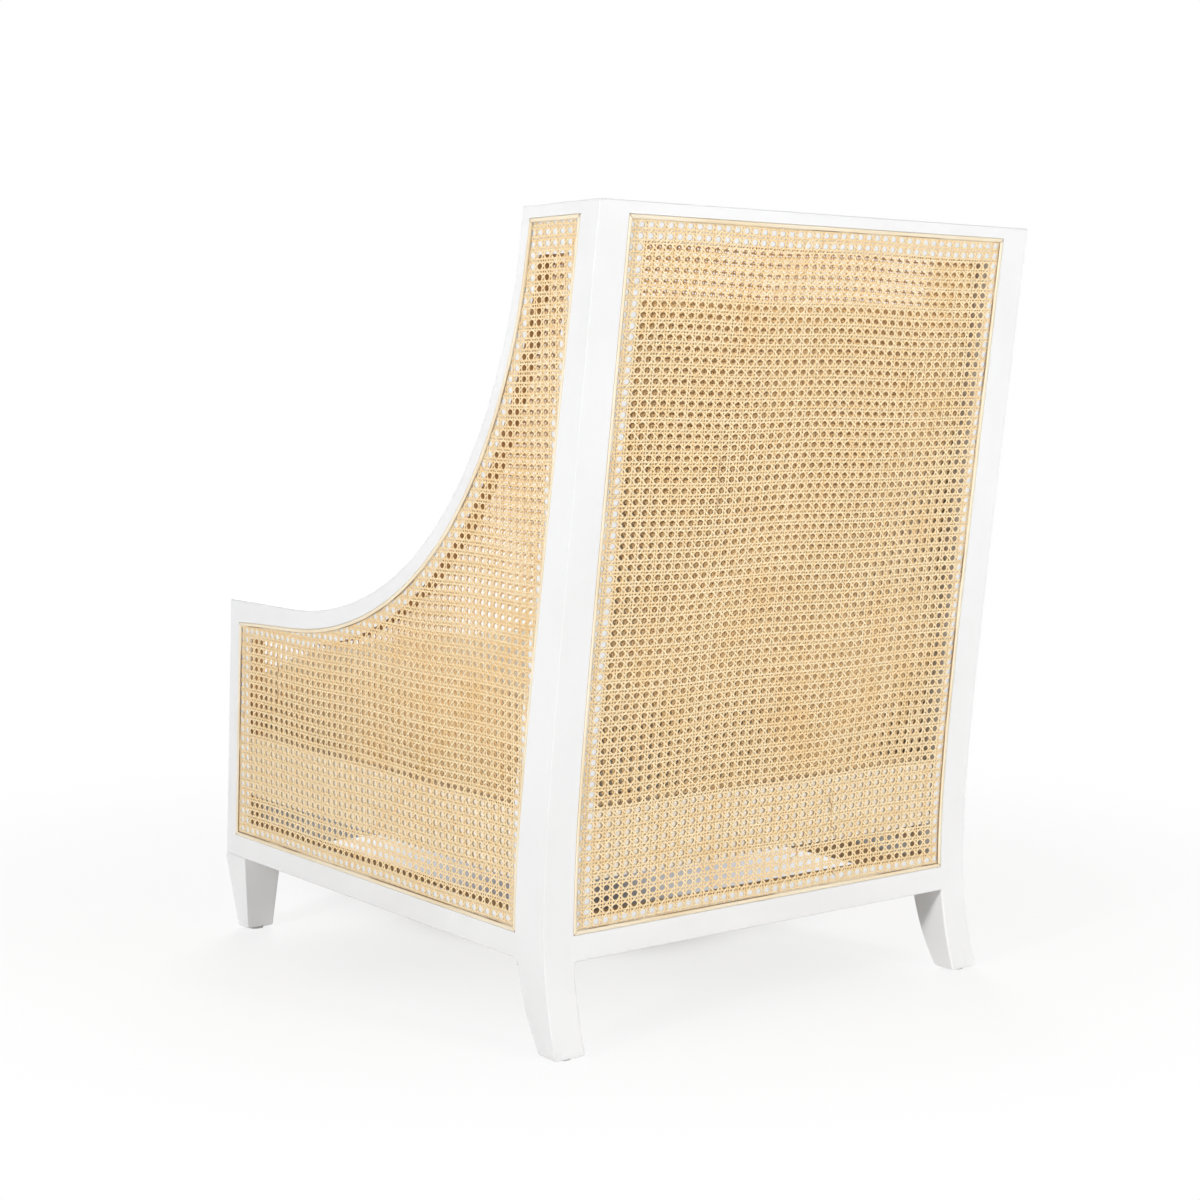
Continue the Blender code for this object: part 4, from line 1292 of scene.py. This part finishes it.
def puffed(piece, settings):
    rest = meshPoints(piece.data)
    cloth = piece.modifiers.new("puff", "CLOTH")
    cloth.settings.use_pressure = True
    cloth.settings.uniform_pressure_force = puffing["pressure"]
    cloth.settings.mass = puffing["mass"]
    cloth.settings.tension_stiffness = puffing["tension"]
    cloth.settings.compression_stiffness = puffing["tension"]
    cloth.settings.bending_stiffness = puffing["bending"]
    cloth.settings.effector_weights.gravity = 0
    cloth.point_cache.frame_start = 1
    cloth.point_cache.frame_end = puffing["frames"]
    for number in range(1, puffing["frames"] + 1):
        scene.frame_set(number)
    solid = piece.evaluated_get(bpy.context.evaluated_depsgraph_get())
    moved = meshPoints(solid.data) - rest
    piece.modifiers.clear()
    scene.frame_set(1)
    up = turned(rest, settings["lean"])[:, 2]
    share = (up - up.min()) / (up.max() - up.min())
    # it moves mostly through its thickness, and not on the side that it rests on
    moved = turned(moved, settings["lean"]) * (puffing["sideways"], puffing["sideways"], 1)
    moved[:, 2] *= np.interp(share, puffing["rise"], (0, 1))
    far = np.linalg.norm(moved, axis=1)[:, None]
    return rest + turned(moved * np.minimum(1, settings["cap"] / np.maximum(far, 1e-9)), -settings["lean"])


# where a cushion's surface crosses a level of its own frame, as an even loop round its middle
def seamLoop(local, edges, level):
    a, b = local[edges[:, 0]], local[edges[:, 1]]
    crossing = (a[:, 2] - level) * (b[:, 2] - level) < 0
    a, b = a[crossing], b[crossing]
    share = ((level - a[:, 2]) / (b[:, 2] - a[:, 2]))[:, None]
    loop = (a + share * (b - a))[:, :2]
    middle = (loop.min(0) + loop.max(0)) / 2
    angle = np.arctan2(*(loop - middle).T[::-1])
    loop = loop[np.argsort(angle)]
    way = wayAlong(loop)
    even = np.linspace(0, way[-1], piping["points"] * 2, endpoint=False)
    path = np.stack([np.interp(even, way, loop[:, k]) for k in range(2)], 1)
    kernel = np.hanning(piping["smoothing"])
    kernel /= kernel.sum()
    spare = piping["smoothing"] // 2
    padded = np.concatenate([path[-spare:], path, path[:spare]])
    path = np.stack([np.convolve(padded[:, k], kernel, "valid") for k in range(2)], 1)
    return path[::2]


def pulledIn(local, level, middle, half, number):  # the cloth drawn in along a seam, puckered either side
    off = (local[:, 2] - level) ** 2
    near, wide = np.exp(-off / piping["spread"] ** 2), np.exp(-off / piping["puckerSpread"] ** 2)
    arms = local[:, :2] - middle
    outside = np.interp((np.abs(arms) / half).max(1), piping["rim"], (0, 1))
    turn = local[:, :2] @ piping["rippleTurns"]
    slow = turn * piping["rippleSlow"] + piping["rippleStart"] + number
    ripple = np.stack([np.sin(turn), np.sin(slow)], 1) @ piping["rippleShares"]
    pull = (piping["groove"] * near + piping["pucker"] * ripple * wide * (1 - near)) * outside
    return local[:, :2] - unit(arms) * pull[:, None]


# the cushion stretched to its room: its lower edge boxed out nearly square, its sides fullest half way,
# its lower end sunk into the cushion below and its underside pressed flat
def boxedOut(local, low, high, settings):
    scale = (high - low) / (local.max(0) - local.min(0))
    local = low + (local - local.min(0)) * scale
    middle, half = (low[:2] + high[:2]) / 2, (high[:2] - low[:2]) / 2
    hem = np.exp(-(((local[:, 2:] - low[2]) / puffing["hemReach"]) ** 2))
    local[:, :2] = middle + (local[:, :2] - middle) * (1 + puffing["hem"] / half * hem)
    reach = (local[:, :2] - middle) / half
    local[:, :2] += reach * puffing["full"] * (1 - np.clip(np.abs(reach[:, ::-1]), 0, 1) ** 2)
    local[:, :2] = np.clip(local[:, :2], low[:2], high[:2])
    local[:, 1] -= settings["settle"] * np.clip(-reach[:, 1], 0, 1) ** 3
    floor = low[2] + puffing["floor"]
    pressed = floor - (floor - local[:, 2]) * puffing["pressed"] - puffing["floorDrop"]
    local[:, 2] = np.where(local[:, 2] < floor, pressed, local[:, 2])
    return local


def addCushion(node, settings):
    mesh = drawnIn(node, settings)
    piece = bpy.data.objects.new(settings["name"], mesh)
    scene.collection.objects.link(piece)
    bpy.context.view_layer.objects.active = piece
    piece.select_set(True)
    mesh.remesh_voxel_size = settings["voxel"]
    bpy.ops.object.voxel_remesh()
    points = puffed(piece, settings)
    piece.select_set(False)
    lean = settings["lean"]
    room = turned(meshPoints(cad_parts[node].data), lean)
    low, high = room.min(0), room.max(0)
    local = boxedOut(turned(points, lean), low, high, settings)
    edges = np.empty(len(piece.data.edges) * 2, np.int32)
    piece.data.edges.foreach_get("vertices", edges)
    edges = edges.reshape(-1, 2)
    middle, half = (low[:2] + high[:2]) / 2, (high[:2] - low[:2]) / 2
    levels = [low[2] + seam for seam in settings["seams"]]
    loops = [seamLoop(local, edges, level) for level in levels]
    for number, level in enumerate(levels):
        local[:, :2] = pulledIn(local, level, middle, half, number)
    back = turned(local, -lean)
    piece.data.vertices.foreach_set("co", back.astype(np.float32).ravel())
    piece.data.shade_smooth()
    piece.data.materials.clear()
    piece.data.materials.append(ivoryLinen)
    smooth = piece.modifiers.new("smooth", "SUBSURF")
    smooth.levels = 1
    smooth.render_levels = 1
    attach(piece, "root")
    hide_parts(node)
    for number, (loop, level) in enumerate(zip(loops, levels), 1):
        addPiping(settings["name"] + "Piping" + str(number), loop, level, lean, node)
    print(settings["name"], "filled,", len(points), "points")
    return piece


# a cord covered in the same cloth, a circle carried round the seam
def addPiping(name, path, level, lean, node):
    ahead = unit(np.roll(path, -1, 0) - np.roll(path, 1, 0))
    outward = np.stack([ahead[:, 1], -ahead[:, 0]], 1)
    angle = np.linspace(0, 2 * math.pi, piping["sides"], endpoint=False)
    radius = piping["radius"]
    reach = radius * (np.cos(angle) - piping["sunk"])
    flat = path[:, None, :] + reach[None, :, None] * outward[:, None, :]
    height = np.broadcast_to(level + radius * np.sin(angle), flat.shape[:2])
    points = turned(np.concatenate([flat, height[..., None]], -1).reshape(-1, 3), -lean)
    faces = ringFaces(len(path), piping["sides"], shut=True, turned=True)
    return addPiece(name, points, faces, ivoryLinen, "ivory_linen", [node], piping["sharp"])


# brown fibres split off the cane: where each starts on its sheet, how far it runs and how much it curls
fibres = (
    {"sheet": "backOuter", "start": (0.131, 0.662), "run": (-0.002, -0.030), "curl": 0.0012},
    {"sheet": "backOuter", "start": (0.128, 0.622), "run": (0.001, -0.022), "curl": 0.0010},
    {"sheet": "backOuter", "start": (-0.0925, 0.250), "run": (-0.006, -0.026), "curl": 0.0016},
    {"sheet": "backOuter", "start": (-0.0985, 0.215), "run": (-0.008, -0.024), "curl": 0.0016},
    {"sheet": "backOuter", "start": (-0.046, 0.190), "run": (0.012, -0.020), "curl": 0.0026},
    {"sheet": "backOuter", "start": (-0.105, 0.158), "run": (-0.001, -0.013), "curl": 0.0015},
    {"sheet": "leftOuter", "start": (-0.2725, 0.390), "run": (0.002, -0.034), "curl": 0.0012},
    {"sheet": "leftOuter", "start": (-0.2710, 0.350), "run": (-0.001, -0.026), "curl": 0.0012},
    {"sheet": "leftOuter", "start": (-0.3670, 0.303), "run": (0.004, -0.012), "curl": 0.0018},
)
fibreSize = {
    "width": 0.0009,
    "height": 0.0004,
    "points": 18,
    "lift": -0.0013,
    "liftSway": 0.0003,
    "liftTurn": 7,
    "curlTurn": 9,
    "tip": 0.03,
    "taper": 0.4,
    "patternApart": 0.3,
}


def addFibres():  # flat three-sided hairs that curl in a sine about a straight run
    way = np.linspace(0, 1, fibreSize["points"])[:, None]
    inward = fibreSize["tip"] + (1 - 2 * fibreSize["tip"]) * way
    slim = np.sin(inward * math.pi) ** fibreSize["taper"] * fibreSize["width"] / 2
    lift = fibreSize["lift"] + fibreSize["liftSway"] * np.sin(way[:, 0] * fibreSize["liftTurn"])
    for number, fibre in enumerate(fibres):
        run = np.array(fibre["run"])
        beside = unit(np.array((run[1], -run[0])))
        curl = fibre["curl"] * np.sin(way * fibreSize["curlTurn"] + number)
        path = np.array(fibre["start"]) + way * run + curl * beside
        sheet = sheets[fibre["sheet"]]
        ring = []
        for across, rise in ((-1, 0.0), (0, fibreSize["height"]), (1, 0.0)):
            flat = path + across * slim * beside
            ring.append(onSheet(sheet, flat[:, 0], flat[:, 1], lift + rise))
        points = np.stack(ring, 1)
        mark = np.array((fibreSize["patternApart"] * number, seeds["fibre"], 0.0))
        marks = np.broadcast_to(mark, points.shape)
        faces = ringFaces(*points.shape[:2], turned=isMirrored(sheet))
        looks = (splitCane, "natural_cane", [sheet["node"] + "_cane"], weave["sharp"])
        addPiece("looseFibre" + str(number + 1), points, faces, *looks, {"strand": marks})
    print("loose fibres laid:", len(fibres))


for node, settings in cushions.items():
    addCushion(node, settings)
for number, (name, sheet) in enumerate(sheets.items()):
    addSheet(name, sheet, number)
    addSpline(name, sheet)
addFibres()

# what is carried over from the CAD as it is takes its finish here
kept = {
    "batten": paintedWhite,
    "corner_block": planedBeech,
    "strap": juteWebbing,
    "glide": glideNylon,
}
for name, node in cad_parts.items():
    for word, finish in kept.items():
        if word in name:
            node.data.materials.clear()
            node.data.materials.append(finish)
print("carried-over solids finished")

# a plain white studio: a pale floor that keeps the shadow and has painted shade under and in front of the
# chair, an even white surround and four soft boxes
studio = {
    "floorHalf": 9.0,
    "floorColour": (0.88, 0.88, 0.88),
    "shadeColour": (0.38, 0.35, 0.36),
    "shadeMiddle": (-0.10, -0.24),  # the deepest painted shade lies under the seat
    "shadeReach": (0.08, 0.34),
    "shadeStretch": 1.35,
    "dimMiddle": (-0.28, -0.42),  # the wider painted shade reaches in front of the chair
    "dimReach": (0.10, 0.52),
    "glowShaded": 0.14,
    "glowBeside": 0.78,
    "whiteReach": (0.50, 1.30),
    "skyLow": 0.09,
    "skyTop": 0.36,
    "skyReach": (0.0, 0.9),
    "aim": (0, 0, 0.45),  # what the soft boxes are turned to
}
# nearly square to the side, nearly square to the back, behind the camera, and in front of the chair
softBoxes = {
    "sideBox": {"place": (4.1, 1.0, 1.3), "size": 0.4, "power": 85.0},
    "backBox": {"place": (-1.0, 4.0, 1.2), "size": 0.4, "power": 68.0},
    "fillBox": {"place": (2.30, 3.56, 1.18), "size": 0.5, "power": 16.0},
    "frontBox": {"place": (-1.8, -3.0, 2.0), "size": 1.8, "power": 95.0},
}


# to the camera the floor is mostly an even white glow, with less of it in the painted shade and near the
# chair
def addFloor():
    half = studio["floorHalf"]
    corners = [(-half, -half, 0), (half, -half, 0), (half, half, 0), (-half, half, 0)]
    mesh = bpy.data.meshes.new("studioFloor")
    mesh.from_pydata(corners, [], [(0, 1, 2, 3)])
    ground = Finish(bpy.data.materials, "studioFloor")
    glow = ground.node("ShaderNodeEmission", None, {"Color": (1, 1, 1, 1), "Strength": 1.0})
    x, y = ground.parts(ground.place())[:2]

    def distance(middle, stretch):  # on the floor, with x drawn out
        return (((x - middle[0]) * stretch) ** 2 + (y - middle[1]) ** 2) ** 0.5

    # painted shade: the floor's colour is darker under the seat and in front of the chair, and its glow is
    # weaker there
    under = distance(studio["shadeMiddle"], studio["shadeStretch"]).between(*studio["shadeReach"])
    away = distance(studio["dimMiddle"], 1.0)
    lit = away.between(*studio["dimReach"])
    ground.surface({
        "Base Color": ground.mix(under * lit, studio["shadeColour"], studio["floorColour"]),
        "Roughness": 0.9,
        "Specular IOR Level": 0.2,
    })
    plain = Wire(ground, ground.shader.outputs[0])
    dim, beside = studio["glowShaded"], studio["glowBeside"]
    share = dim + (beside - dim) * lit
    share = share * under + (1 - beside) * away.between(*studio["whiteReach"])
    both = ground.node("ShaderNodeMixShader", None, {0: ground.seen() * share, 1: plain, 2: glow})
    ground.feed(ground.out.inputs["Surface"], both)
    mesh.materials.append(ground.owner)
    floor = bpy.data.objects.new("studioFloor", mesh)
    scene.collection.objects.link(floor)


def addSky():  # white to the camera; as light, weak at the horizon and stronger overhead
    sky = Finish(bpy.data.worlds, "studioSky")
    scene.world = sky.owner
    seen = sky.seen()
    up = sky.parts(sky.node("ShaderNodeTexCoord", out=0))[2].between(*studio["skyReach"])
    light = studio["skyLow"] + (studio["skyTop"] - studio["skyLow"]) * up
    strength = seen + (1 - seen) * light
    shade = next(n for n in sky.tree.nodes if n.type == "BACKGROUND")
    sky.feed(shade.inputs["Color"], (1, 1, 1, 1))
    sky.feed(shade.inputs["Strength"], strength)


def addSoftBox(name, box):
    data = bpy.data.lights.new(name, "AREA")
    data.size = box["size"]
    data.energy = box["power"]
    lamp = bpy.data.objects.new(name, data)
    aim = Vector(studio["aim"]) - Vector(box["place"])
    turn = aim.to_track_quat("-Z", "Y").to_matrix().to_4x4()
    lamp.matrix_world = Matrix.Translation(box["place"]) @ turn
    scene.collection.objects.link(lamp)


addFloor()
addSky()
for name, box in softBoxes.items():
    addSoftBox(name, box)
print("studio lit")
